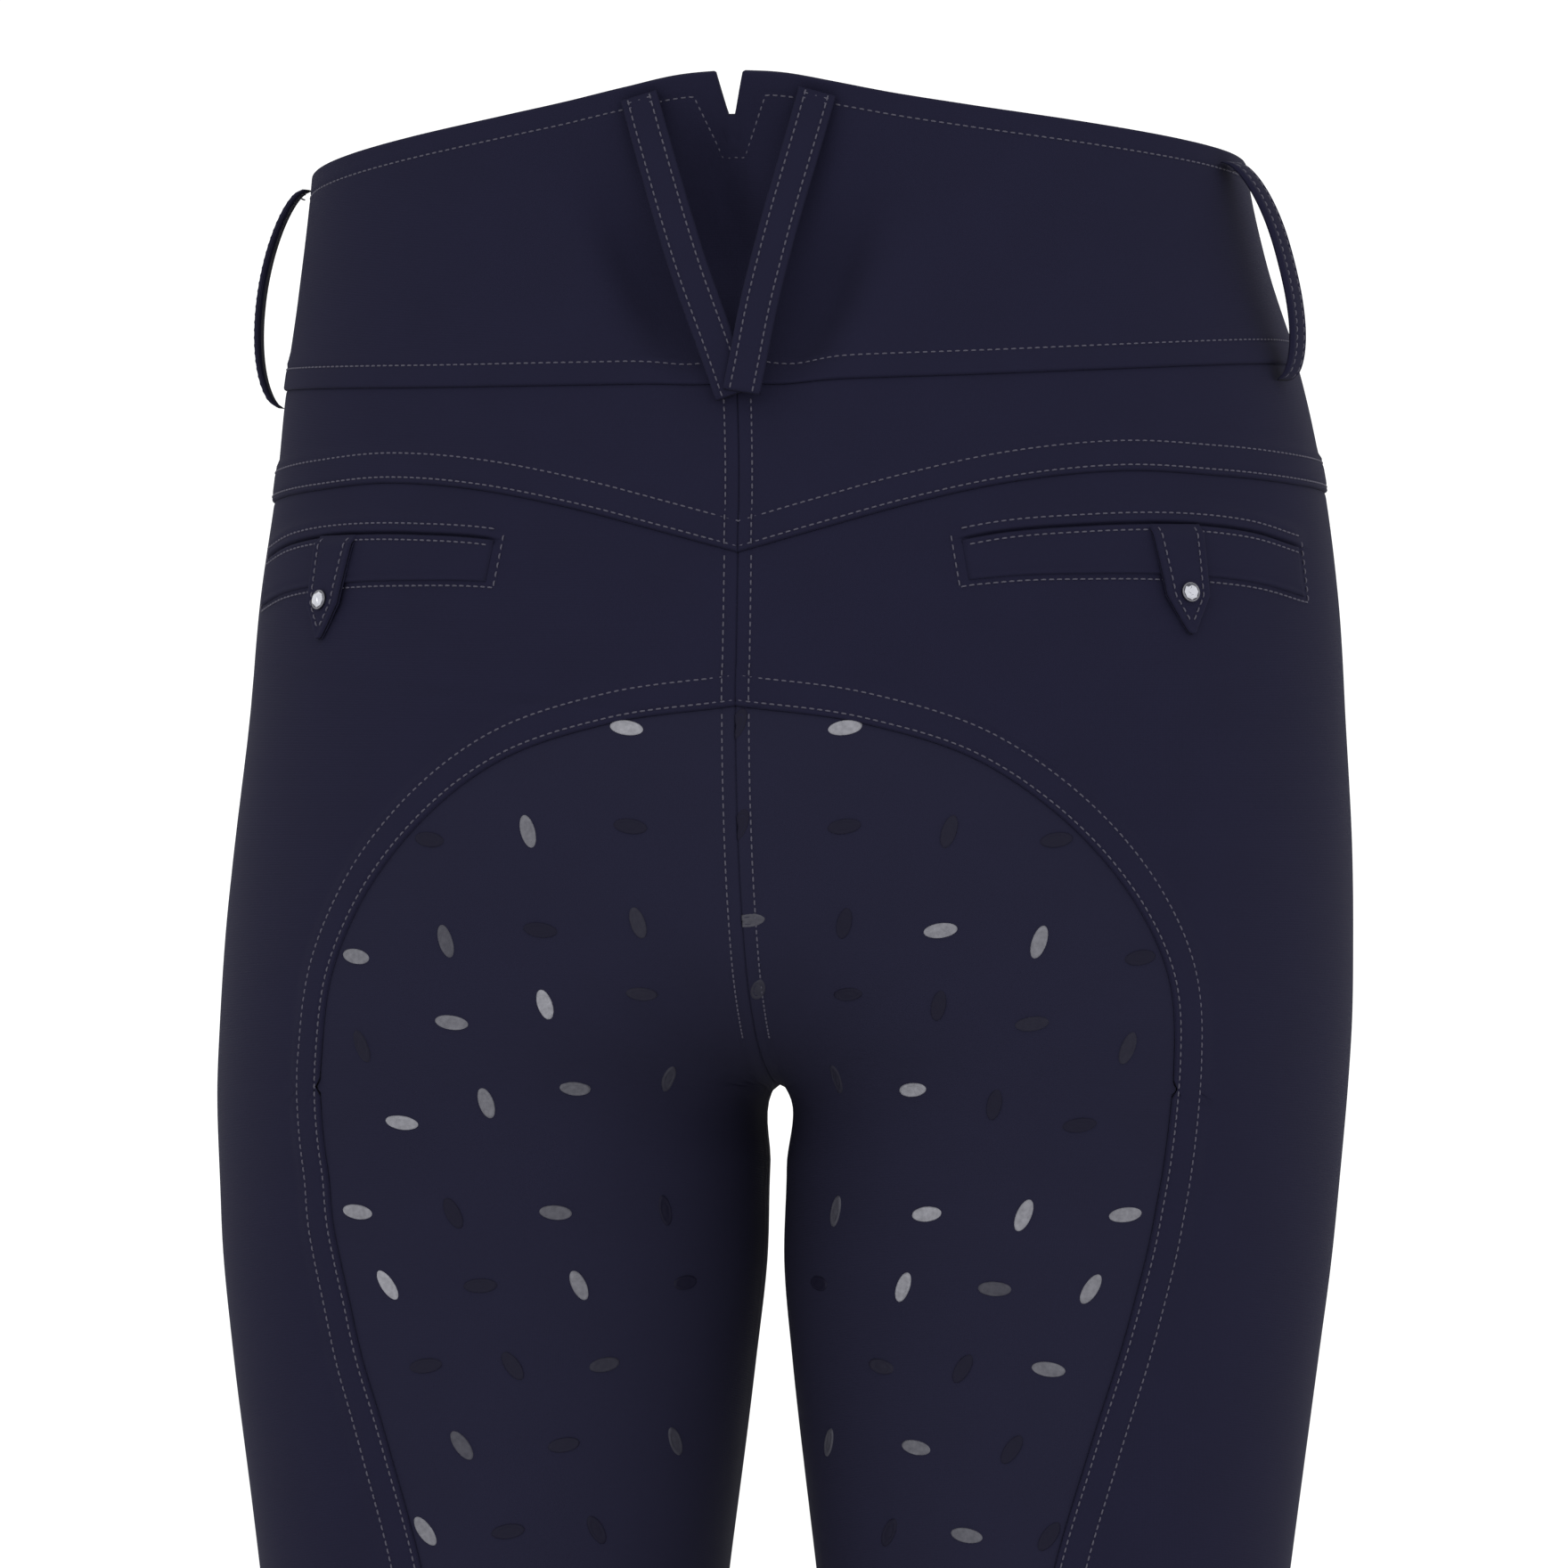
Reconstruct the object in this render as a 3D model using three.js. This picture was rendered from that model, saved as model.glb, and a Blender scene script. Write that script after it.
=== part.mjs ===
import * as THREE from "three";

// Riding breeches in millimetres: +X wearer's right, +Y wearer's front, +Z up.
// The origin is the centre of the waist opening, halfway up the waistband at the sides.

const CLOTH = 1.2; // wall of a softshell panel
const BAND = 2.4; // the waistband is the cloth doubled
const SEAM = 0.15; // a piece stops this far short of its seam line, so neighbours are 0.3 apart
const LAY = 0.5; // space under a piece that lies on another
const HEM = -945; // open ankle hem
const SIDE_TURN = 0.15; // the side seam sits this far forward of the widest point, in radians

// Cross-sections from the top edge to the ankle. outer and inner are the widest and the innermost
// x of one half, back and front its y limits and mid the y of its widest point. square is the
// superellipse power. over_b and over_f bridge the valley between the halves. sway, turn (degrees)
// and tip lean the hips as they are worn.
const NAMES = [
  "z", "outer", "inner", "back", "front", "mid", "square", "over_b", "over_f", "sway", "turn", "tip",
];
const LEVELS = [
  [-950, 127.5, 52.5, -54, 19, -17, 2, 0, 0, 0, 0, 0],
  [-900, 128, 52, -55, 21, -17, 2, 0, 0, 0, 0, 0],
  [-850, 132, 48, -61, 26, -18, 2, 0, 0, 0, 0, 0],
  [-780, 141, 40, -71, 35, -18, 2, 0, 0, 0, 0, 0],
  [-710, 146, 34, -76, 43, -16, 2, 0, 0, 0, 0, 0],
  [-650, 143, 36, -68, 50, -9, 2, 0, 0, 0, 0, 0],
  [-600, 144, 35, -63, 57, -4, 2, 0, 0, 0, 0, 0],
  [-550, 147, 32, -67, 60, -5, 2, 0, 0, 0, 0, 0],
  [-480, 155, 24, -77, 66, -7, 2, 0, 0, 0, 0, 0],
  [-408, 164, 15, -86, 73, -8, 2, 0, 0, 0, 1, 0],
  [-340, 172.5, 6.5, -95, 80, -9, 2, 0, 0, 0.5, 1.6, 0],
  [-310, 176, 3.5, -101, 84, -10, 2, 0, 0, 1, 1.9, 0],
  [-280, 178, 3.5, -108, 88, -11, 2, 1.5, 1.5, 2, 2.2, 0],
  [-254, 179.3, 2.5, -117, 92, -12, 2, 2.5, 2.5, 3, 2.4, 0],
  [-235, 179.5, -16, -125, 96, -12, 2, 11, 16, 4, 2.6, 0],
  [-210, 179, -44, -132, 100, -11, 2, 24, 36, 5, 2.5, 0],
  [-180, 177.5, -80, -135, 104, -10, 2.05, 30, 50, 6.5, 1.7, 0],
  [-140, 174.5, -125, -131, 107, -8, 2.1, 26, 50, 7.5, 0.7, 0],
  [-100, 171.5, -160, -122, 108, -5, 2.15, 15, 30, 7.5, 0.3, 1],
  [-60, 166, -165, -113, 106, -2, 2.2, 5, 5, 7, 0, 2],
  [-35, 162, -162, -106, 103, 0, 2.25, 0, 0, 5, 0, 3],
  [0, 154, -154, -97, 99, 0, 2.25, 0, 0, 1.5, 0, 4.5],
  [40, 148, -148, -90, 93, 0, 2.25, 0, 0, 0, 0, 2.6],
  [80, 147, -147, -91, 93, 0, 2.25, 0, 0, 0, 0, 2.2],
];

// Smooth curve through a table's points: slopes are the weighted means of the steps beside them.
function through(xs, ys) {
  const last = xs.length - 1;
  const step = xs.slice(1).map((x, i) => x - xs[i]);
  const rise = step.map((h, i) => (ys[i + 1] - ys[i]) / h);
  const slope = xs.map((_, i) => {
    if (i === 0) return rise[0];
    if (i === last) return rise[last - 1];
    return (rise[i - 1] * step[i] + rise[i] * step[i - 1]) / (step[i - 1] + step[i]);
  });
  return (q) => {
    let i = 0;
    while (i < last - 1 && q > xs[i + 1]) i += 1;
    const h = step[i];
    const t = Math.min(1, Math.max(0, (q - xs[i]) / h));
    const t2 = t * t;
    const t3 = t2 * t;
    return (
      (2 * t3 - 3 * t2 + 1) * ys[i] +
      (t3 - 2 * t2 + t) * h * slope[i] +
      (3 * t2 - 2 * t3) * ys[i + 1] +
      (t3 - t2) * h * slope[i + 1]
    );
  };
}

const level = {};
NAMES.slice(1).forEach((name, k) => {
  level[name] = through(
    LEVELS.map((row) => row[0]),
    LEVELS.map((row) => row[k + 1]),
  );
});

function smooth(t) {
  const c = Math.min(1, Math.max(0, t));
  return c * c * (3 - 2 * c);
}

const power = (v, e) => Math.sign(v) * Math.abs(v) ** e;

// The half's form at one level: its ellipse and the angles where it starts and ends.
function ring(z) {
  const outer = level.outer(z);
  const inner = level.inner(z);
  const mid = level.mid(z);
  const square = level.square(z);
  const centre = (outer + inner) / 2;
  const reach = (outer - inner) / 2;
  const overBack = Math.max(0, level.over_b(z));
  const overFront = Math.max(0, level.over_f(z));
  const forward = 0.55 * smooth((-300 - z) / 300); // the inner leg seam moves forward down the leg
  const angle = (r) => Math.acos(power(Math.min(1, Math.max(-1, (r - centre) / reach)), square / 2));
  return {
    centre, reach, mid, square, overBack, overFront,
    deepBack: mid - level.back(z),
    deepFront: level.front(z) - mid,
    first: 2 * Math.PI - angle(overBack) - forward,
    last: 2 * Math.PI + angle(overFront) - forward,
  };
}

// Hollow of the band over the small of the back, which the two crossed loops bridge.
const HOLLOW = { deep: 9, half: 46, low: -36, high: 68, soft_low: 30, soft_high: 36 };
function hollow(x, z) {
  if (Math.abs(x) > HOLLOW.half) return 0;
  const across = Math.cos((Math.PI / 2) * (x / HOLLOW.half)) ** 2;
  return (
    HOLLOW.deep * across *
    smooth((z - HOLLOW.low) / HOLLOW.soft_low) *
    smooth((HOLLOW.high - z) / HOLLOW.soft_high)
  );
}

// A point of the garment's outer surface. side is 1 on the wearer's right and -1 on the left, and
// u runs from 0 at the centre back or inner leg seam round the outside to 1 at the centre front.
function place(side, u, z, flat = false) {
  const r = ring(z);
  const angle = r.first + (r.last - r.first) * u;
  const c = Math.cos(angle);
  const s = Math.sin(angle);
  const e = 2 / r.square;
  let x = r.centre + r.reach * power(c, e);
  let y = r.mid + (s < 0 ? r.deepBack : r.deepFront) * power(s, e);
  const over = r.overBack + (r.overFront - r.overBack) * smooth(u);
  x *= Math.sqrt(Math.max(0, 1 - (over / Math.max(x, 1e-6)) ** 4));
  if (s < 0 && !flat) y += hollow(x, z);
  const lean = THREE.MathUtils.degToRad(level.turn(z));
  const px = side * x + level.sway(z);
  return new THREE.Vector3(
    px * Math.cos(lean) - y * Math.sin(lean),
    px * Math.sin(lean) + y * Math.cos(lean),
    z + (level.tip(z) * side * x) / 150,
  );
}

// The same point with the surface's outward direction.
function spot(side, u, z, flat = false) {
  const du = 1e-3;
  const a = place(side, Math.max(0, u - du), z, flat);
  const b = place(side, Math.min(1, u + du), z, flat);
  const n = b.sub(a).cross(place(side, u, z + 0.5, flat).sub(place(side, u, z - 0.5, flat)));
  return { p: place(side, u, z, flat), n: n.multiplyScalar(side).normalize() };
}

// u of a seam that is x from the centre plane on the back, of the side seam, and of a share of the
// way round from the centre back to the side seam.
function uAtX(x, z) {
  const r = ring(z);
  const far = Math.sqrt((x * x + Math.sqrt(x ** 4 + 4 * r.overBack ** 4)) / 2);
  const c = Math.min(1, Math.max(-1, (far - r.centre) / r.reach));
  return (2 * Math.PI - Math.acos(power(c, r.square / 2)) - r.first) / (r.last - r.first);
}
function uSide(z) {
  const r = ring(z);
  return (2 * Math.PI + SIDE_TURN - r.first) / (r.last - r.first);
}
const uShare = (share, z) => share * uSide(z);

// Seam lines.
const BAND_SEAM = { centre: -34.5, rise: 4, reach: 150 };
const bandSeam = (u) => BAND_SEAM.centre + BAND_SEAM.rise * Math.sin(Math.PI * u) ** 2;
const TOP_EDGE = [
  // u, z
  [0, 62.5], [0.025, 61.6], [0.059, 58.5], [0.098, 54.8], [0.145, 51.3], [0.236, 46],
  [0.355, 40.6], [0.5, 36], [0.75, 33], [1, 30],
];
const topEdge = through(TOP_EDGE.map((p) => p[0]), TOP_EDGE.map((p) => p[1]));
const YOKE = [
  // share of the way round to the side seam, z
  [0, -87], [0.06, -82], [0.15, -74.5], [0.28, -66.5], [0.42, -63.5], [0.58, -65], [0.8, -67.5], [1, -69],
];
const yokeZ = through(YOKE.map((p) => p[0]), YOKE.map((p) => p[1]));
const ARCH = [
  // x, z of the seat patch's edge from the centre back down the back of the leg
  [0, -135], [40, -140.5], [75, -152], [103, -173], [122, -198], [130, -217], [133, -245],
  [130.5, -281], [122, -325], [110, -366], [100, -401], [90, -470], [84, -560], [80, -620],
  [80, -700], [84, -790], [88, -870], [89, HEM],
];
const ARCH_TURN = 4; // the row where the panel's grid turns its corner
const archAlong = ARCH.map(() => 0);
ARCH.forEach((p, i) => {
  if (i > 0) archAlong[i] = archAlong[i - 1] + Math.hypot(p[0] - ARCH[i - 1][0], p[1] - ARCH[i - 1][1]);
});
const archX = through(archAlong, ARCH.map((p) => p[0]));
const archZ = through(archAlong, ARCH.map((p) => p[1]));
// The place along the arch that is at one level below its corner.
function archAtZ(z) {
  let low = archAlong[ARCH_TURN];
  let high = archAlong[ARCH.length - 1];
  for (let k = 0; k < 40; k += 1) {
    const middle = (low + high) / 2;
    if (archZ(middle) > z) low = middle;
    else high = middle;
  }
  return high;
}

// Grid counts. ROWS is the back panel's, from the yoke seam to the hem: CENTRE rows of it lie above
// the arch, TURN rows along the arch's top and the rest beside the seat patch. CROTCH is the seat
// patch's rows above the crotch.
const ROWS = 38;
const CENTRE = 1;
const TURN = 6;
const CROTCH = 7;
const YOKE_ROWS = 3;
const BACK_COLUMNS = 7;
const FRONT_COLUMNS = 9;
const FRONT_CROWD = 1.25; // the front's columns crowd towards the crotch and the inner leg seam
const CROTCH_Z = -254;
const sideZ = (i) => {
  const t = i / ROWS;
  const whole = yokeZ(1) - HEM;
  return yokeZ(1) - whole * (0.3 * t + 0.7 * t ** 2.0);
};

// Boundary lines as lists of [u, z].
const archTop = [];
for (let j = 0; j <= TURN; j += 1) {
  const along = (archAlong[ARCH_TURN] * j) / TURN;
  const z = archZ(along);
  archTop.push([uAtX(archX(along), z), z]);
}
archTop[0][0] = 0;
const archLow = [];
const cornerZ = ARCH[ARCH_TURN][1];
for (let i = CENTRE + TURN; i <= ROWS; i += 1) {
  const t = (i - CENTRE - TURN) / (ROWS - CENTRE - TURN);
  const drop = sideZ(CENTRE + TURN) - cornerZ;
  const z = i === ROWS ? HEM : sideZ(i) - drop * (1 - t) ** 2;
  archLow.push([uAtX(archX(archAtZ(z)), z), z]);
}
archLow[0] = archTop[TURN];

// Levels down a centre line with equal steps, where a level step counts in full and a step along
// the crotch counts by a share.
function evenly(u, zTop, zLow, count, share) {
  const fine = [];
  let far = 0;
  for (let k = 0; k <= 400; k += 1) {
    const z = zTop + ((zLow - zTop) * k) / 400;
    const p = place(1, u, z);
    if (k > 0) far += Math.hypot(share * (p.y - fine[k - 1].p.y), z - fine[k - 1].z);
    fine.push({ z, p, far });
  }
  return Array.from({ length: count + 1 }, (_, i) => {
    const want = (far * i) / count;
    const k = fine.findIndex((f) => f.far >= want - 1e-9);
    return fine[k].z;
  });
}
const centreZ = evenly(0, ARCH[0][1], CROTCH_Z, CROTCH, 0.7);
const seamZ = []; // the inner leg seam, from the crotch to the hem
for (let i = 0; i <= ROWS - CENTRE - TURN - CROTCH; i += 1) {
  const t = i / (ROWS - CENTRE - TURN - CROTCH);
  const level0 = sideZ(CENTRE + TURN + CROTCH + i);
  const drop = sideZ(CENTRE + TURN + CROTCH) - CROTCH_Z;
  seamZ.push(i === ROWS - CENTRE - TURN - CROTCH ? HEM : level0 - drop * (1 - t) ** 2);
}

// Fills a four-sided patch of [u, z] between its boundary lines. crowd sets the columns' spacing.
const crowded = (s, crowd) => 1 - (1 - s) ** crowd;
function patch(top, bottom, left, right, crowd = 1) {
  const rows = left.length - 1;
  const columns = top.length - 1;
  const out = [];
  for (let i = 0; i <= rows; i += 1) {
    const t = i / rows;
    out.push([]);
    for (let j = 0; j <= columns; j += 1) {
      const s = crowded(j / columns, crowd);
      out[i].push(
        [0, 1].map(
          (k) =>
            (1 - t) * top[j][k] + t * bottom[j][k] + (1 - s) * left[i][k] + s * right[i][k] -
            ((1 - t) * ((1 - s) * top[0][k] + s * top[columns][k]) +
              t * ((1 - s) * bottom[0][k] + s * bottom[columns][k])),
        ),
      );
    }
  }
  return out;
}
const line = (from, to, count, crowd = 1) =>
  Array.from({ length: count + 1 }, (_, j) => {
    const s = crowded(j / count, crowd);
    return [from[0] + (to[0] - from[0]) * s, from[1] + (to[1] - from[1]) * s];
  });

// Moves the rim of a grid of points inwards along the surface, so that neighbours stay apart.
function inset(grid, by, edges = [1, 1, 1, 1]) {
  const rows = grid.length - 1;
  const columns = grid[0].length - 1;
  const moves = [];
  const pull = (i, j, before, after, inner, share) => {
    const along = after.p.clone().sub(before.p);
    const across = along.cross(grid[i][j].n).normalize();
    if (across.dot(inner.p.clone().sub(grid[i][j].p)) < 0) across.negate();
    moves.push([grid[i][j], across.multiplyScalar(by * share)]);
  };
  for (let j = 0; j <= columns; j += 1) {
    const a = Math.max(0, j - 1);
    const b = Math.min(columns, j + 1);
    if (edges[0]) pull(0, j, grid[0][a], grid[0][b], grid[1][j], edges[0]);
    if (edges[1]) pull(rows, j, grid[rows][a], grid[rows][b], grid[rows - 1][j], edges[1]);
  }
  for (let i = 0; i <= rows; i += 1) {
    const a = Math.max(0, i - 1);
    const b = Math.min(rows, i + 1);
    if (edges[2]) pull(i, 0, grid[a][0], grid[b][0], grid[i][1], edges[2]);
    if (edges[3]) pull(i, columns, grid[a][columns], grid[b][columns], grid[i][columns - 1], edges[3]);
  }
  moves.forEach(([point, by_]) => point.p.add(by_));
  return grid;
}

// A closed sheet of cloth from a grid of points and directions, between two heights over them.
function cloth(grid, low, high) {
  const rows = grid.length - 1;
  const columns = grid[0].length - 1;
  const at = (i, j, k) => ((i * (columns + 1) + j) * 2 + k);
  const corners = [];
  grid.forEach((row) =>
    row.forEach((g) => {
      const lowBy = g.low ?? low;
      const highBy = g.high ?? high;
      corners.push(g.p.clone().addScaledVector(g.n, lowBy), g.p.clone().addScaledVector(g.n, highBy));
    }),
  );
  const faces = [];
  const quad = (a, b, c, d) => {
    const long = corners[a].distanceTo(corners[c]) > corners[b].distanceTo(corners[d]);
    faces.push(...(long ? [a, b, d, b, c, d] : [a, b, c, a, c, d]));
  };
  for (let i = 0; i < rows; i += 1) {
    for (let j = 0; j < columns; j += 1) {
      quad(at(i, j, 1), at(i + 1, j, 1), at(i + 1, j + 1, 1), at(i, j + 1, 1));
      quad(at(i, j, 0), at(i, j + 1, 0), at(i + 1, j + 1, 0), at(i + 1, j, 0));
    }
  }
  for (let j = 0; j < columns; j += 1) {
    quad(at(0, j, 0), at(0, j, 1), at(0, j + 1, 1), at(0, j + 1, 0));
    quad(at(rows, j, 0), at(rows, j + 1, 0), at(rows, j + 1, 1), at(rows, j, 1));
  }
  for (let i = 0; i < rows; i += 1) {
    quad(at(i, 0, 0), at(i + 1, 0, 0), at(i + 1, 0, 1), at(i, 0, 1));
    quad(at(i, columns, 0), at(i, columns, 1), at(i + 1, columns, 1), at(i + 1, columns, 0));
  }
  return solid(corners, faces);
}

// A geometry with its faces turned outwards.
function solid(corners, faces) {
  let volume = 0;
  for (let k = 0; k < faces.length; k += 3) {
    volume += corners[faces[k]].dot(corners[faces[k + 1]].clone().cross(corners[faces[k + 2]]));
  }
  if (volume < 0) {
    for (let k = 0; k < faces.length; k += 3) [faces[k + 1], faces[k + 2]] = [faces[k + 2], faces[k + 1]];
  }
  const geometry = new THREE.BufferGeometry();
  geometry.setAttribute("position", new THREE.Float32BufferAttribute(corners.flatMap((c) => [c.x, c.y, c.z]), 3));
  geometry.setIndex(faces);
  return geometry;
}

// Materials.
const navy = new THREE.MeshStandardMaterial({ color: 0x242333, roughness: 0.85 });
const deep = new THREE.MeshStandardMaterial({ color: 0x1f1f2c, roughness: 0.85 });
const metal = new THREE.MeshStandardMaterial({ color: 0xc9c9cf, roughness: 0.25, metalness: 0.9 });

const breeches = new THREE.Group();
breeches.name = "riding_breeches";
function add(name, geometry, material) {
  geometry.computeVertexNormals();
  const mesh = new THREE.Mesh(geometry, material);
  mesh.name = name;
  breeches.add(mesh);
  return mesh;
}

// Where a line from a point along its direction meets the outside of some meshes.
function dropOn(point, meshes) {
  const a = new THREE.Vector3();
  const b = new THREE.Vector3();
  const c = new THREE.Vector3();
  const hit = new THREE.Vector3();
  const start = point.p.clone().addScaledVector(point.n, 12);
  const ray = new THREE.Ray(start, point.n.clone().negate());
  let best = null;
  meshes.forEach((mesh) => {
    const position = mesh.geometry.attributes.position;
    const index = mesh.geometry.index.array;
    for (let k = 0; k < index.length; k += 3) {
      a.fromBufferAttribute(position, index[k]);
      if (a.distanceToSquared(point.p) > 6400) continue;
      b.fromBufferAttribute(position, index[k + 1]);
      c.fromBufferAttribute(position, index[k + 2]);
      if (ray.intersectTriangle(a, b, c, true, hit)) {
        const far = hit.distanceTo(start);
        if (best === null || far < best.far) best = { far, p: hit.clone() };
      }
    }
  });
  return { p: best === null ? point.p : best.p, n: point.n };
}

const SIDES = [["left", -1], ["right", 1]];
const spots = (side, uz) => uz.map((row) => row.map(([u, z]) => spot(side, u, z)));
const meshes = {};

// Panels: yoke, back, seat patch and front of each half.
for (const [word, side] of SIDES) {
  const shares = Array.from({ length: BACK_COLUMNS + 1 }, (_, j) => j / BACK_COLUMNS);
  const yokeLine = shares.map((f) => [uShare(f, yokeZ(f)), yokeZ(f)]);
  const bandLine = shares.map((f) => {
    const u = uShare(f, BAND_SEAM.centre);
    return [uShare(f, bandSeam(u)), bandSeam(u)];
  });
  const yokeSide = Array.from({ length: YOKE_ROWS + 1 }, (_, i) => {
    const z = bandLine[BACK_COLUMNS][1] + ((yokeZ(1) - bandLine[BACK_COLUMNS][1]) * i) / YOKE_ROWS;
    return [uSide(z), z];
  });
  const yokeCentre = Array.from({ length: YOKE_ROWS + 1 }, (_, i) => [
    0, bandLine[0][1] + ((yokeZ(0) - bandLine[0][1]) * i) / YOKE_ROWS,
  ]);
  const yoke = inset(spots(side, patch(bandLine, yokeLine, yokeCentre, yokeSide)), SEAM);
  meshes["yoke_" + word] = add("yoke_" + word, cloth(yoke, -CLOTH, 0), navy);

  const backSide = Array.from({ length: ROWS + 1 }, (_, i) => [uSide(sideZ(i)), sideZ(i)]);
  backSide[ROWS] = [uSide(HEM), HEM];
  const backInner = [];
  for (let i = 0; i < CENTRE; i += 1) backInner.push([0, yokeZ(0) + ((ARCH[0][1] - yokeZ(0)) * i) / CENTRE]);
  backInner.push(...archTop, ...archLow.slice(1));
  const backHem = line(archLow[archLow.length - 1], backSide[ROWS], BACK_COLUMNS);
  const back = inset(spots(side, patch(yokeLine, backHem, backInner, backSide)), SEAM);
  meshes["back_" + word] = add("back_" + word, cloth(back, -CLOTH, 0), navy);

  const seatInner = [...centreZ.map((z) => [0, z]), ...seamZ.slice(1).map((z) => [0, z])];
  const seatHem = line([0, HEM], archLow[archLow.length - 1], TURN);
  const seat = inset(spots(side, patch(archTop, seatHem, seatInner, archLow)), SEAM);
  meshes["seat_" + word] = add("seat_" + word, cloth(seat, -CLOTH, 0), deep);

  const frontOuter = [...yokeSide, ...backSide.slice(1)];
  const frontCount = frontOuter.length - 1 - (seamZ.length - 1);
  const frontTop = Array.from({ length: FRONT_COLUMNS + 1 }, (_, j) => {
    const u0 = frontOuter[0][0];
    const u = u0 + (1 - u0) * crowded(j / FRONT_COLUMNS, FRONT_CROWD);
    return [u, bandSeam(u)];
  });
  frontTop[0] = frontOuter[0];
  const frontZ = evenly(1, frontTop[FRONT_COLUMNS][1], CROTCH_Z, frontCount, 0.3);
  const frontInner = [...frontZ.map((z) => [1, z]), ...seamZ.slice(1).map((z) => [1, z])];
  const frontHem = line(frontOuter[frontOuter.length - 1], [1, HEM], FRONT_COLUMNS, FRONT_CROWD);
  const frontPatch = patch(frontTop, frontHem, frontOuter, frontInner, FRONT_CROWD);
  const front = inset(spots(side, frontPatch), SEAM);
  meshes["front_" + word] = add("front_" + word, cloth(front, -CLOTH, 0), navy);
}

// Waistband: one back piece with a notch in its top edge, and two fronts. w runs round the waist
// from 0 at the centre back to 1 at the centre front on the right and to -1 on the left.
const NOTCH = { half: 3.5, deep: 13 };
const LAP = 0.02; // the right front runs this far past the centre front
function bandPoint(w, t) {
  const turned = w > 1 ? w - 2 : w;
  const side = turned < 0 ? -1 : 1;
  const u = Math.abs(turned);
  const low = bandSeam(u);
  const x = Math.abs(place(side, u, 60).x);
  const cut = NOTCH.deep * Math.max(0, 1 - x / NOTCH.half);
  const z = low + (topEdge(u) - cut - low) * t;
  return spot(side, u, z);
}
function band(name, ws, rows) {
  const grid = [];
  for (let i = 0; i <= rows; i += 1) grid.push(ws.map((w) => bandPoint(w, i / rows)));
  meshes[name] = add(name, cloth(inset(grid, SEAM, [2, 0, 1, 1]), -BAND, 0), navy);
}
const sideW = uSide(0);
const notchW = uAtX(NOTCH.half, 60);
const innerWs = [notchW, 0.035, 0.065, 0.095, 0.13, 0.17, 0.22, 0.275, 0.33, 0.38, 0.43, 0.48, sideW];
band("waistband_back", [...innerWs.map((w) => -w).reverse(), 0, ...innerWs], 6);
const frontWs = [0, 0.14, 0.28, 0.42, 0.56, 0.7, 0.84, 1].map((t) => sideW + (1 + LAP - sideW) * t);
band("waistband_front_right", frontWs, 3);
const otherWs = [0, 0.14, 0.28, 0.42, 0.56, 0.7, 0.84, 1].map((t) => -sideW - (1 - LAP - sideW) * t);
band("waistband_front_left", otherWs, 3);

// Pocket welts and tabs on the back panels, with a stud on each tab.
const WELT = {
  // share of the way round, z of the opening, z of the lower edge
  share: [0.19, 0.23, 0.36, 0.5, 0.62, 0.745],
  top: [-84.5, -82.5, -79.8, -79.5, -81.5, -86],
  low: [-97.2, -96, -95, -95.5, -97.5, -101.5],
  from: { left: 0.24, right: 0.2 },
  to: 0.745,
  thick: 0.9,
  rows: 2,
  columns: 22,
};
const weltTop = through(WELT.share, WELT.top);
const weltLow = through(WELT.share, WELT.low);
const TAB = { half: 9, narrow: 7, top: -80.5, shoulder: -103, tip: -113.5, thick: 1.6, over: 1.9 };
const TAB_SHARE = { left: 0.5, right: 0.484 };
const STUD = { z: -101, radius: 3, high: 2.1, facets: 12 };
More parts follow.
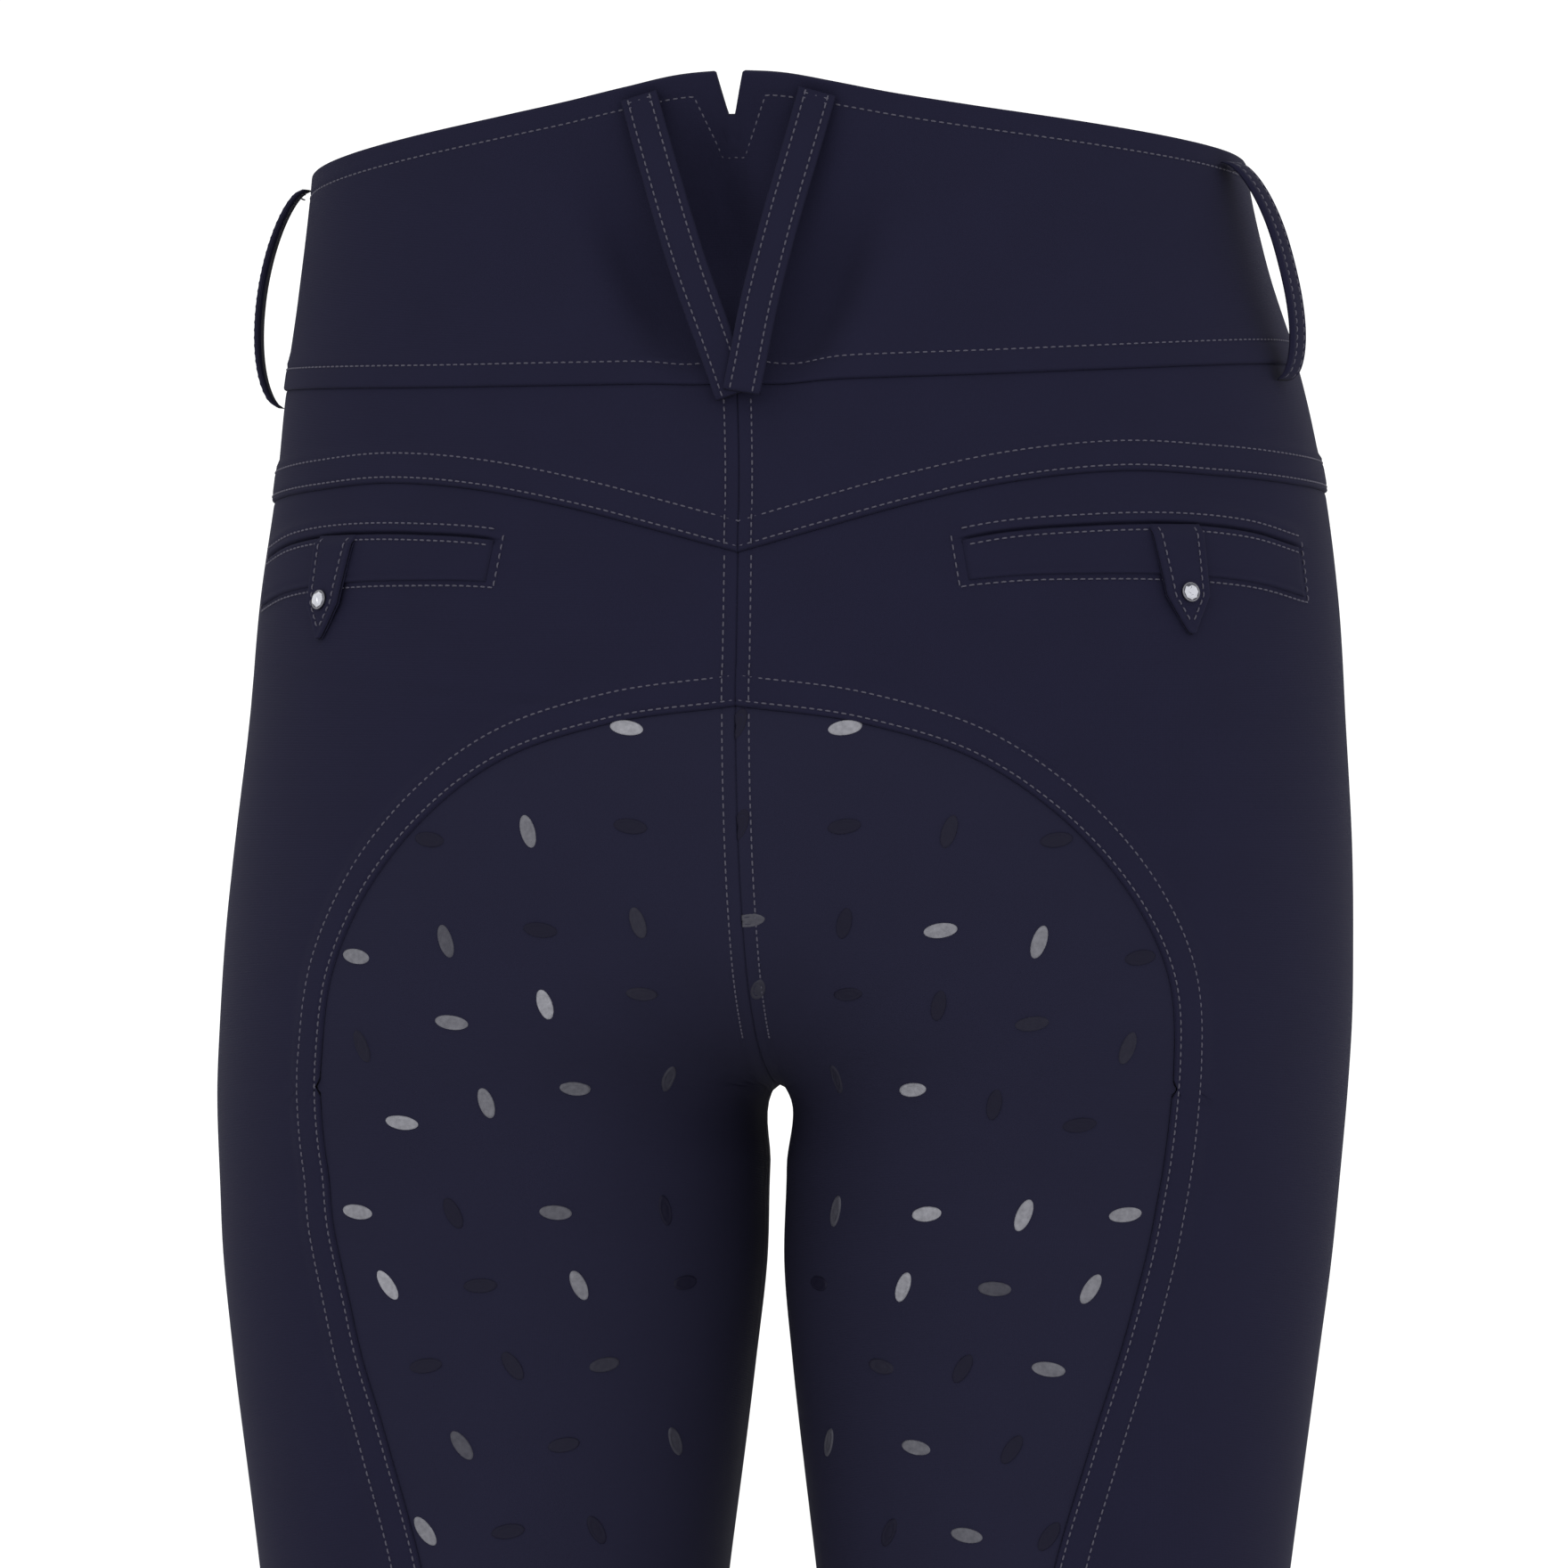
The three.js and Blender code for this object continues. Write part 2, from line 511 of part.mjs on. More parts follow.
for (const [word, side] of SIDES) {
  const under = [meshes["back_" + word], meshes["yoke_" + word]];
  const welt = [];
  for (let i = 0; i <= WELT.rows; i += 1) {
    welt.push([]);
    for (let j = 0; j <= WELT.columns; j += 1) {
      const f = WELT.from[word] + ((WELT.to - WELT.from[word]) * j) / WELT.columns;
      const z = weltTop(f) + ((weltLow(f) - weltTop(f)) * i) / WELT.rows;
      welt[i].push(dropOn(spot(side, uShare(f, z), z), under));
    }
  }
  meshes["pocket_welt_" + word] = add("pocket_welt_" + word, cloth(welt, LAY, LAY + WELT.thick), navy);

  const tab = [];
  const tabZ = [TAB.top, -86, -91.5, -97, TAB.shoulder, -106.5, -110, TAB.tip];
  tabZ.forEach((z) => {
    const down = Math.max(0, (TAB.shoulder - z) / (TAB.shoulder - TAB.tip));
    const slim = (TAB.top - z) / (TAB.top - TAB.shoulder);
    const half = down > 0 ? TAB.narrow * (1 - 0.93 * down) : TAB.half + (TAB.narrow - TAB.half) * slim;
    const middle = uShare(TAB_SHARE[word], z);
    const mm = 0.02 / place(side, middle + 0.01, z).distanceTo(place(side, middle - 0.01, z));
    const row = [-1, -0.5, 0, 0.5, 1].map((k) => {
      const g = dropOn(spot(side, middle + (k * half + slim * 0.6) * mm, z), under);
      g.low = TAB.over - 0.9 * smooth(down * 1.4);
      g.high = g.low + TAB.thick;
      return g;
    });
    tab.push(row);
  });
  meshes["pocket_tab_" + word] = add("pocket_tab_" + word, cloth(tab, 0, 1), navy);

  // A cut stone in a low setting: a ring of corners, a smaller ring and a flat top.
  const seat = dropOn(spot(side, uShare(TAB_SHARE[word] + 0.004, STUD.z), STUD.z), [meshes["pocket_tab_" + word]]);
  const across = new THREE.Vector3(0, 0, 1).cross(seat.n).normalize();
  const up = seat.n.clone().cross(across);
  const rings = [[0.3, STUD.radius * 0.9], [0.7, STUD.radius], [1.1, STUD.radius * 0.95], [STUD.high, STUD.radius * 0.5]];
  const corners = [];
  rings.forEach(([height, radius]) => {
    for (let k = 0; k < STUD.facets; k += 1) {
      const turn = (2 * Math.PI * k) / STUD.facets;
      corners.push(
        seat.p.clone()
          .addScaledVector(seat.n, height)
          .addScaledVector(across, radius * Math.cos(turn))
          .addScaledVector(up, radius * Math.sin(turn)),
      );
    }
  });
  add("stud_" + word, lathed(corners, rings.length, STUD.facets), metal);
}

// Joins rings of corners into a closed body with flat ends.
function lathed(corners, rings, count) {
  const faces = [];
  for (let i = 0; i + 1 < rings; i += 1) {
    for (let k = 0; k < count; k += 1) {
      const next = (k + 1) % count;
      const a = i * count + k;
      const b = i * count + next;
      faces.push(a, b, b + count, a, b + count, a + count);
    }
  }
  for (let k = 1; k + 1 < count; k += 1) {
    faces.push(0, k + 1, k);
    const top = (rings - 1) * count;
    faces.push(top, top + k, top + k + 1);
  }
  return solid(corners, faces);
}

// Belt loops. A ribbon follows a line down the band at a changing height over it.
function ribbon(name, count, half, thick, centre, height) {
  const grid = [];
  for (let i = 0; i <= count; i += 1) {
    const t = i / count;
    const g = centre(t);
    const next = centre(Math.min(1, t + 0.01)).p.sub(centre(Math.max(0, t - 0.01)).p);
    const across = next.cross(g.n).normalize();
    grid.push([-1, 0, 1].map((k) => {
      const p = g.p.clone().addScaledVector(across, k * half);
      return { p, n: g.n, low: height(t), high: height(t) + thick };
    }));
  }
  meshes[name] = add(name, cloth(grid, 0, thick), navy);
}
const SIDE_LOOP = { top: 33, low: -36, half: 5.2, thick: 2.2 };
const SIDE_LOOP_OFF = { left: 10.6, right: 12 };
const SIDE_LOOP_SHARE = { left: 0.87, right: 0.79 };
for (const [word, side] of SIDES) {
  const at = (t) => {
    const z = SIDE_LOOP.top + (SIDE_LOOP.low - SIDE_LOOP.top) * t;
    return spot(side, uShare(SIDE_LOOP_SHARE[word], z), z);
  };
  const height = (t) => 0.7 + SIDE_LOOP_OFF[word] * (4 * t * (1 - t)) ** 0.6;
  ribbon("loop_side_" + word, 16, SIDE_LOOP.half, SIDE_LOOP.thick, at, height);
}
const BACK_LOOP = { top: 55.5, low: -39, half: 6, thick: 1.8, topX: 28 };
const backLoops = { left: { lowX: -0.5, side: -1, raise: 0 }, right: { lowX: 2.2, side: 1, raise: 2.4 } };
for (const [word, loop] of Object.entries(backLoops)) {
  const at = (t) => {
    const z = BACK_LOOP.top + (BACK_LOOP.low - BACK_LOOP.top) * t;
    const x = loop.side * BACK_LOOP.topX + (loop.lowX - loop.side * BACK_LOOP.topX) * t;
    return spot(x < 0 ? -1 : 1, uAtX(Math.abs(x), z), z, true);
  };
  const height = (t) => 0.8 + 3.2 * Math.sin(Math.PI * t) + loop.raise * smooth((t - 0.5) / 0.3);
  ribbon("loop_back_" + word, 18, BACK_LOOP.half, BACK_LOOP.thick, at, height);
}

// The front closes with a plain fly flap and one waist button.
const FLY = { left: -5, right: 30, top: -38, low: -150, thick: 1, rows: 12 };
const frontU = (x, z) => {
  const r = ring(z);
  const far = Math.sqrt((x * x + Math.sqrt(x ** 4 + 4 * r.overFront ** 4)) / 2);
  const c = Math.min(1, Math.max(-1, (far - r.centre) / r.reach));
  return (2 * Math.PI + Math.acos(power(c, r.square / 2)) - r.first) / (r.last - r.first);
};
{
  const under = [meshes.front_left, meshes.front_right];
  const grid = [];
  for (let i = 0; i <= FLY.rows; i += 1) {
    const z = FLY.top + ((FLY.low - FLY.top) * i) / FLY.rows;
    const t = Math.max(0, (i - 7) / (FLY.rows - 7));
    const right = FLY.right - (FLY.right - 4) * (1 - Math.sqrt(1 - t * t * 0.999));
    grid.push(Array.from({ length: 5 }, (_, j) => {
      const x = FLY.left + ((right - FLY.left) * j) / 4;
      return dropOn(spot(x < 0 ? -1 : 1, frontU(Math.abs(x), z), z), under);
    }));
  }
  add("fly", cloth(grid, LAY, LAY + FLY.thick), navy);

  const g = dropOn(spot(1, 1, 0), [meshes.waistband_front_right]);
  const across = new THREE.Vector3(0, 0, 1).cross(g.n).normalize();
  const up = g.n.clone().cross(across);
  const rings = [[0.6, 7], [1.4, 7.5], [2.6, 7.5], [3.2, 6.8]];
  const corners = [];
  rings.forEach(([height, radius]) => {
    for (let k = 0; k < 20; k += 1) {
      const turn = (2 * Math.PI * k) / 20;
      corners.push(
        g.p.clone()
          .addScaledVector(g.n, height)
          .addScaledVector(across, radius * Math.cos(turn))
          .addScaledVector(up, radius * Math.sin(turn)),
      );
    }
  });
  add("waist_button", lathed(corners, rings.length, 20), metal);
}

export default breeches;
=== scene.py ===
"""Riding breeches seen from behind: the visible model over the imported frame.

Lengths are in millimetres until a mesh is written. +X is the right side as worn, +Y the front
and +Z up, and the origin is the centre of the waist opening.
"""

from __future__ import annotations

import logging
import math
from dataclasses import dataclass, field
from enum import Enum

import bpy
import numpy as np
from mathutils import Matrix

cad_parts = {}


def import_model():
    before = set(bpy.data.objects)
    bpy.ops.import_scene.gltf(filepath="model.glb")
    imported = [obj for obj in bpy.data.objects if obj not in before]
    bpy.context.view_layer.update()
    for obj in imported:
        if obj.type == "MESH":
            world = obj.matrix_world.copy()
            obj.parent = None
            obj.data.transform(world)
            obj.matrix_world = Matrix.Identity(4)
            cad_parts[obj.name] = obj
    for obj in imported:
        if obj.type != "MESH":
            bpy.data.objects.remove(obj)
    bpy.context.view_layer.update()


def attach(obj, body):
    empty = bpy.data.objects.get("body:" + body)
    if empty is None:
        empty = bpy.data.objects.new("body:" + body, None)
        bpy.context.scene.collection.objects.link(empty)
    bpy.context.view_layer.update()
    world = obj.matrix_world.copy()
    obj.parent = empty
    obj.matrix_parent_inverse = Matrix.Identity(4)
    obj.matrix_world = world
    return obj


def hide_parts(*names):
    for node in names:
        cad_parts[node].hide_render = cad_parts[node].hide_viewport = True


LOG = logging.getLogger("breeches")
MM = 0.001
CLOTH = 1.2  # wall of a softshell panel
BAND = 2.4  # the waistband is the cloth doubled
HEM = -945.0
CROTCH_Z = -254.0
STRAP_ROW = 2.4  # distance of a belt loop's stitch rows from its edges
SIDE_TURN = 0.15  # the side seam sits this far forward of the widest point, in radians

# Cross-sections from the ankle to the top edge. outer and inner are the widest and the innermost
# x of one half, back and front its y limits and mid the y of its widest point. square is the
# superellipse power. over_b and over_f bridge the valley between the halves. sway, turn (degrees)
# and tip lean the hips as they are worn.
LEVEL_NAMES = (
    "z", "outer", "inner", "back", "front", "mid", "square", "over_b", "over_f", "sway", "turn", "tip",
)
LEVELS = (
    (-950, 127.5, 52.5, -54, 19, -17, 2, 0, 0, 0, 0, 0),
    (-900, 128, 52, -55, 21, -17, 2, 0, 0, 0, 0, 0),
    (-850, 132, 48, -61, 26, -18, 2, 0, 0, 0, 0, 0),
    (-780, 141, 40, -71, 35, -18, 2, 0, 0, 0, 0, 0),
    (-710, 146, 34, -76, 43, -16, 2, 0, 0, 0, 0, 0),
    (-650, 143, 36, -68, 50, -9, 2, 0, 0, 0, 0, 0),
    (-600, 144, 35, -63, 57, -4, 2, 0, 0, 0, 0, 0),
    (-550, 147, 32, -67, 60, -5, 2, 0, 0, 0, 0, 0),
    (-480, 155, 24, -77, 66, -7, 2, 0, 0, 0, 0, 0),
    (-408, 164, 15, -86, 73, -8, 2, 0, 0, 0, 1, 0),
    (-340, 172.5, 6.5, -95, 80, -9, 2, 0, 0, 0.5, 1.6, 0),
    (-310, 176, 3.5, -101, 84, -10, 2, 0, 0, 1, 1.9, 0),
    (-280, 178, 3.5, -108, 88, -11, 2, 1.5, 1.5, 2, 2.2, 0),
    (-254, 179.3, 2.5, -117, 92, -12, 2, 2.5, 2.5, 3, 2.4, 0),
    (-235, 179.5, -16, -125, 96, -12, 2, 11, 16, 4, 2.6, 0),
    (-210, 179, -44, -132, 100, -11, 2, 24, 36, 5, 2.5, 0),
    (-180, 177.5, -80, -135, 104, -10, 2.05, 30, 50, 6.5, 1.7, 0),
    (-140, 174.5, -125, -131, 107, -8, 2.1, 26, 50, 7.5, 0.7, 0),
    (-100, 171.5, -160, -122, 108, -5, 2.15, 15, 30, 7.5, 0.3, 1),
    (-60, 166, -165, -113, 106, -2, 2.2, 5, 5, 7, 0, 2),
    (-35, 162, -162, -106, 103, 0, 2.25, 0, 0, 5, 0, 3),
    (0, 154, -154, -97, 99, 0, 2.25, 0, 0, 1.5, 0, 4.5),
    (40, 148, -148, -90, 93, 0, 2.25, 0, 0, 0, 0, 2.6),
    (80, 147, -147, -91, 93, 0, 2.25, 0, 0, 0, 0, 2.2),
)

# Creases listed one by one: centre x and z, half length, half width, height (a trough is negative) and
# slope in degrees. The first three are the buckles of the band beside and between the back loops.
CREASE_NAMES = ("x", "z", "long", "wide", "high", "slope")
CREASES = (
    (-27, 2, 33, 9.5, -9.0, -60),
    (32, -2, 34, 10, -8.5, 66),
    (-3, 18, 24, 9, -10.0, -72),
    (-92, -277, 48, 7, -0.9, 8),
    (-84, -293, 52, 8, 0.8, 6),
    (-78, -318, 44, 7, -0.7, 3),
    (-96, -338, 40, 9, 0.6, 7),
    (94, -282, 46, 7, -0.8, -9),
    (86, -300, 50, 8, 0.7, -6),
    (82, -326, 42, 8, -0.6, -4),
    (-30, -246, 22, 6, -0.8, -38),
    (30, -248, 22, 6, -0.8, 36),
    (-90, -588, 60, 9, -1.6, 5),
    (-92, -606, 62, 9, 1.5, 3),
    (-90, -625, 56, 9, -1.4, -3),
    (90, -590, 60, 9, -1.5, -5),
    (92, -609, 62, 9, 1.5, -2),
    (90, -628, 54, 9, -1.3, 4),
    (-90, -868, 44, 7, -0.9, 4),
    (90, -872, 44, 7, -0.9, -5),
)

Array = np.ndarray

# Distances of grid lines from a finished edge, where its rim and stitch rows need them.
EDGE_STEPS = np.array([
    0.0, 0.25, 0.55, 0.9, 1.25, 1.7, 2.3, 3.2, 4.2, 5.2, 6.4, 7.6, 8.6, 9.4, 10.4, 12.0, 14.0,
])
Table = tuple[tuple[float, float], ...]
Colour = tuple[float, float, float]
Socket = bpy.types.NodeSocket


def smooth(t: Array) -> Array:
    """S-shaped step.

    Args:
        t: Values, where 0 is the start of the step and 1 its end.

    Returns:
        0 before the start, 1 after the end, and 3t² - 2t³ between.
    """
    c = np.clip(t, 0.0, 1.0)
    return c * c * (3.0 - 2.0 * c)


def power(value: Array, exponent: Array) -> Array:
    """Raises a size to an exponent and keeps its sign."""
    return np.sign(value) * np.abs(value) ** exponent


def share_of(v: Array) -> Array:
    """Share u of a half's angle at a way v round it."""
    return np.sin(math.pi / 2 * v) ** 2


def rolled(distance: Array, radius: float) -> Array:
    """Fall of a rounded rim, from 1 at the edge to 0 at its radius."""
    rim = np.clip(1 - distance / radius, 0.0, 1.0)
    return 1 - np.sqrt(1 - rim * rim)


def dent(distance: Array, at: float, width: float = 0.7) -> Array:
    """Dent that a stitch row pulls into the cloth, 1 at its middle."""
    return np.exp(-(((distance - at) / width) ** 2))


def through(q: Array, xs: Array, ys: Array) -> Array:
    """Smooth curve through a table's points.

    Each piece is a cubic whose end slopes are the weighted means of the steps beside them.

    Args:
        q: Places to read.
        xs: The table's places, rising.
        ys: The table's values.

    Returns:
        The curve's value at each place, held flat outside the table.
    """
    xs, ys, q = np.asarray(xs, float), np.asarray(ys, float), np.asarray(q, float)
    step = np.diff(xs)
    rise = np.diff(ys) / step
    slope = np.empty_like(ys)
    slope[0], slope[-1] = rise[0], rise[-1]
    slope[1:-1] = (rise[:-1] * step[1:] + rise[1:] * step[:-1]) / (step[:-1] + step[1:])
    i = np.clip(np.searchsorted(xs, q) - 1, 0, len(xs) - 2)
    t = np.clip((q - xs[i]) / step[i], 0.0, 1.0)
    t2, t3 = t * t, t * t * t
    start = (2 * t3 - 3 * t2 + 1) * ys[i] + (t3 - 2 * t2 + t) * step[i] * slope[i]
    end = (3 * t2 - 2 * t3) * ys[i + 1] + (t3 - t2) * step[i] * slope[i + 1]
    return start + end


def unit(vectors: Array) -> Array:
    """Vectors scaled to length 1."""
    return vectors / np.maximum(np.linalg.norm(vectors, axis=-1, keepdims=True), 1e-12)


def along(points: Array) -> Array:
    """Distance from the first point to each point of a line."""
    steps = np.linalg.norm(np.diff(points, axis=0), axis=-1)
    return np.concatenate([[0.0], np.cumsum(steps)])


def read_line(values: Array, far: Array, where: Array) -> Array:
    """Each column of a line's values, read at distances along it."""
    return np.stack([np.interp(where, far, column) for column in values.T], -1)


def run_of_rows(grid: Array) -> Array:
    """Distance along each row of a grid of points from the row's start."""
    steps = np.linalg.norm(np.diff(grid, axis=1), axis=-1)
    return np.concatenate([np.zeros((len(grid), 1)), np.cumsum(steps, axis=1)], axis=1)


def border(grid: Array) -> Array:
    """The points round the four sides of a grid."""
    return np.concatenate([grid[0], grid[:, -1], grid[-1, ::-1], grid[::-1, 0]])


def distance_to(points: Array, line: Array) -> Array:
    """Shortest distance from points to a line of straight steps.

    Args:
        points: Points in an array that ends in 3.
        line: The line's points.

    Returns:
        One distance for each point.
    """
    flat = points.reshape(-1, 3)
    start, step = line[None, :-1], np.diff(line, axis=0)[None]
    size = np.maximum((step * step).sum(-1), 1e-9)
    best = []
    for part in np.array_split(flat, max(1, len(flat) // 3000)):
        reach = part[:, None] - start
        t = np.clip((reach * step).sum(-1) / size, 0.0, 1.0)
        best.append(np.linalg.norm(reach - t[..., None] * step, axis=-1).min(1))
    return np.concatenate(best).reshape(points.shape[:-1])


class Side(Enum):
    """The side that a piece is on as worn, with the sign of its x."""

    LEFT = -1
    RIGHT = 1

    @property
    def word(self) -> str:
        """The side's name as node names end."""
        return self.name.lower()


class Form:
    """The garment's outer surface.

    A place on it is its side, v and z. v runs round one half from 0 at the centre back or inner
    leg seam, past the outside, to 1 at the centre front. u is the same way as a share of the
    half's angle, with u = sin²(πv/2), so that equal steps of v are nearly equal near the centre.
    """

    HOLLOW_DEEP, HOLLOW_HALF = 9.0, 46.0

    def __init__(self) -> None:
        table = np.array(LEVELS, float)
        self._z = table[:, 0]
        self._columns = dict(zip(LEVEL_NAMES, table.T))
        self._creases = [dict(zip(CREASE_NAMES, row)) for row in CREASES]

    def level(self, name: str, z: Array) -> Array:
        """One column of the levels table at any height."""
        return through(z, self._z, self._columns[name])

    def _angles(self, z: Array) -> dict[str, Array]:
        outer, inner = self.level("outer", z), self.level("inner", z)
        square = self.level("square", z)
        centre, reach = (outer + inner) / 2, (outer - inner) / 2
        over_back = np.maximum(0.0, self.level("over_b", z))
        over_front = np.maximum(0.0, self.level("over_f", z))
        forward = 0.55 * smooth((-300.0 - z) / 300.0)

        def angle(x: Array) -> Array:
            return np.arccos(power(np.clip((x - centre) / reach, -1.0, 1.0), square / 2))

        return {
            "centre": centre, "reach": reach, "square": square,
            "over_back": over_back, "over_front": over_front,
            "first": 2 * math.pi - angle(over_back) - forward,
            "last": 2 * math.pi + angle(over_front) - forward,
        }

    def hollow(self, x: Array, z: Array) -> Array:
        """Depth of the band's hollow over the small of the back, which the crossed loops bridge."""
        across = np.cos(math.pi / 2 * np.clip(x / self.HOLLOW_HALF, -1.0, 1.0)) ** 2
        return self.HOLLOW_DEEP * across * smooth((z + 36.0) / 30.0) * smooth((68.0 - z) / 36.0)

    def place(self, side: Array, v: Array, z: Array, flat: bool = False) -> Array:
        """A point of the base surface.

        Args:
            side: Sign of x, or one sign for each place.
            v: Way round the half.
            z: Height before the hips' tip.
            flat: Leaves out the hollow at the small of the back.

        Returns:
            Points in an array that ends in 3.
        """
        side, v, z = np.broadcast_arrays(*(np.asarray(part, float) for part in (side, v, z)))
        u = share_of(np.clip(v, 0.0, 1.0))
        r = self._angles(z)
        angle = r["first"] + (r["last"] - r["first"]) * u
        c, s = np.cos(angle), np.sin(angle)
        x = r["centre"] + r["reach"] * power(c, 2 / r["square"])
        mid = self.level("mid", z)
        deep = np.where(s < 0, mid - self.level("back", z), self.level("front", z) - mid)
        y = mid + deep * power(s, 2 / r["square"])
        over = r["over_back"] + (r["over_front"] - r["over_back"]) * smooth(u)
        x = x * np.sqrt(np.maximum(0.0, 1 - (over / np.maximum(x, 1e-6)) ** 4))
        if not flat:
            y = y + np.where(s < 0, self.hollow(x, z), 0.0)
        lean = np.radians(self.level("turn", z))
        px = side * x + self.level("sway", z)
        tipped = z + self.level("tip", z) * side * x / 150
        cos, sin = np.cos(lean), np.sin(lean)
        return np.stack([px * cos - y * sin, px * sin + y * cos, tipped], -1)

    def steps(self, side: Array, v: Array, z: Array, flat: bool = False) -> tuple[Array, Array]:
        """How the surface moves for one unit of v and for one millimetre of z."""
        low, high = np.maximum(v - 2e-3, 0.0), np.minimum(v + 2e-3, 1.0)
        by_v = (self.place(side, high, z, flat) - self.place(side, low, z, flat)) / (high - low)[..., None]
        by_z = self.place(side, v, z + 0.5, flat) - self.place(side, v, z - 0.5, flat)
        return by_v, by_z

    def normal(self, side: Array, v: Array, z: Array, flat: bool = False) -> Array:
        """The surface's outward direction."""
        side, v, z = np.broadcast_arrays(*(np.asarray(part, float) for part in (side, v, z)))
        by_v, by_z = self.steps(side, v, z, flat)
        return unit(np.cross(by_v, by_z) * side[..., None])

    def creases(self, points: Array) -> Array:
        """Height of the listed creases and of the cloth's slight unevenness at points."""
        x, y, z = points[..., 0], points[..., 1], points[..., 2]
        total = 0.16 * np.sin(x / 17 + 1.3) * np.sin(z / 23 + 0.4) + 0.1 * np.sin(x / 9 - z / 13)
        for crease in self._creases:
            turn = math.radians(crease["slope"])
            dx, dz = x - crease["x"], z - crease["z"]
            run = (dx * math.cos(turn) + dz * math.sin(turn)) / crease["long"]
            off = (-dx * math.sin(turn) + dz * math.cos(turn)) / crease["wide"]
            total = total + crease["high"] * np.exp(-run * run - off * off)
        return total * smooth((-10.0 - y) / 30.0) * smooth((60.0 - z) / 30.0)

    def lift(self, side: Array, v: Array, z: Array, height: Array, flat: bool = False) -> tuple[Array, Array]:
        """Points at a height over the surface, creases included.

        Returns:
            The points and their outward directions.
        """
        base = self.place(side, v, z, flat)
        out = self.normal(side, v, z, flat)
        crease = 0.0 if flat else self.creases(base)
        return base + out * (np.asarray(height + crease)[..., None]), out

    def slide(self, side: float, v: Array, z: Array, move: Array) -> tuple[Array, Array]:
        """Follows the surface from places by a move in space.

        Newton steps solve for the v and z whose point is nearest to the moved one.

        Returns:
            The new v and z.
        """
        target = self.place(side, v, z) + move
        for _ in range(4):
            by_v, by_z = self.steps(side, v, z)
            left = target - self.place(side, v, z)
            a, b, c = (by_v * by_v).sum(-1), (by_v * by_z).sum(-1), (by_z * by_z).sum(-1)
            e, f = (left * by_v).sum(-1), (left * by_z).sum(-1)
            size = np.maximum(a * c - b * b, 1e-9)
            v = np.clip(v + np.clip((c * e - b * f) / size, -0.1, 0.1), 0.0, 1.0)
            z = z + np.clip((a * f - b * e) / size, -12.0, 12.0)
        return v, z

    def v_of(self, u: Array) -> Array:
        """v of a share of the half's angle."""
        return 2 / math.pi * np.arcsin(np.sqrt(np.clip(u, 0.0, 1.0)))

    def _reach_angle(self, x: Array, over: Array, r: dict[str, Array]) -> Array:
        far = np.sqrt((x * x + np.sqrt(x**4 + 4 * over**4)) / 2)
        return np.arccos(power(np.clip((far - r["centre"]) / r["reach"], -1.0, 1.0), r["square"] / 2))

    def v_back(self, x: Array, z: Array) -> Array:
        """v of a place on the back at a distance x from the centre plane."""
        r = self._angles(np.asarray(z, float))
        turned = 2 * math.pi - self._reach_angle(np.asarray(x, float), r["over_back"], r)
        return self.v_of((turned - r["first"]) / (r["last"] - r["first"]))

    def v_front(self, x: Array, z: Array) -> Array:
        """v of a place on the front at a distance x from the centre plane."""
        r = self._angles(np.asarray(z, float))
        turned = 2 * math.pi + self._reach_angle(np.asarray(x, float), r["over_front"], r)
        return self.v_of((turned - r["first"]) / (r["last"] - r["first"]))

    def v_share(self, share: Array, z: Array) -> Array:
        """v of a share of the way from the centre back to the side seam."""
        r = self._angles(np.asarray(z, float))
        whole = (2 * math.pi + SIDE_TURN - r["first"]) / (r["last"] - r["first"])
        return self.v_of(np.asarray(share, float) * whole)


class Edge(Enum):
    """How the edge of a cloth piece is finished.

    Each has the height it lifts to, how far that reaches, the depth and radius of its rolled rim,
    and the distances of its stitch rows.
    """

    FOLDED = (0.95, 10.4, 1.3, 1.1, (1.7, 9.4))
    BAND = (0.5, 8.5, 0.9, 1.0, (7.0,))
    TUCKED = (0.0, 1.0, 0.35, 2.0, ())
    OPENED = (0.3, 5.6, 0.75, 0.9, (4.2,))
    PLAIN = (0.15, 4.0, 0.55, 0.9, ())
    TOP = (0.0, 1.0, 0.9, 1.2, (7.0,))
    HEMMED = (0.5, 21.0, 0.7, 0.9, (20.0,))

    def height(self, distance: Array) -> Array:
        """Height that the edge adds at each distance from it, with a dent under each stitch row."""
        lift, reach, deep, radius, rows = self.value
        total = lift * (1 - smooth((distance - reach) / 3.0)) - deep * rolled(distance, radius)
        for row in rows:
            total = total - 0.3 * dent(distance, row, 0.75)
        return total

    def thread_height(self, row: float) -> float:
        """Height of the cloth under one stitch row."""
        return float(self.height(np.array([row]))[0])


@dataclass
class ThreadRow:
    """One row of stitches along a line on the cloth."""

    points: Array
    out: Array


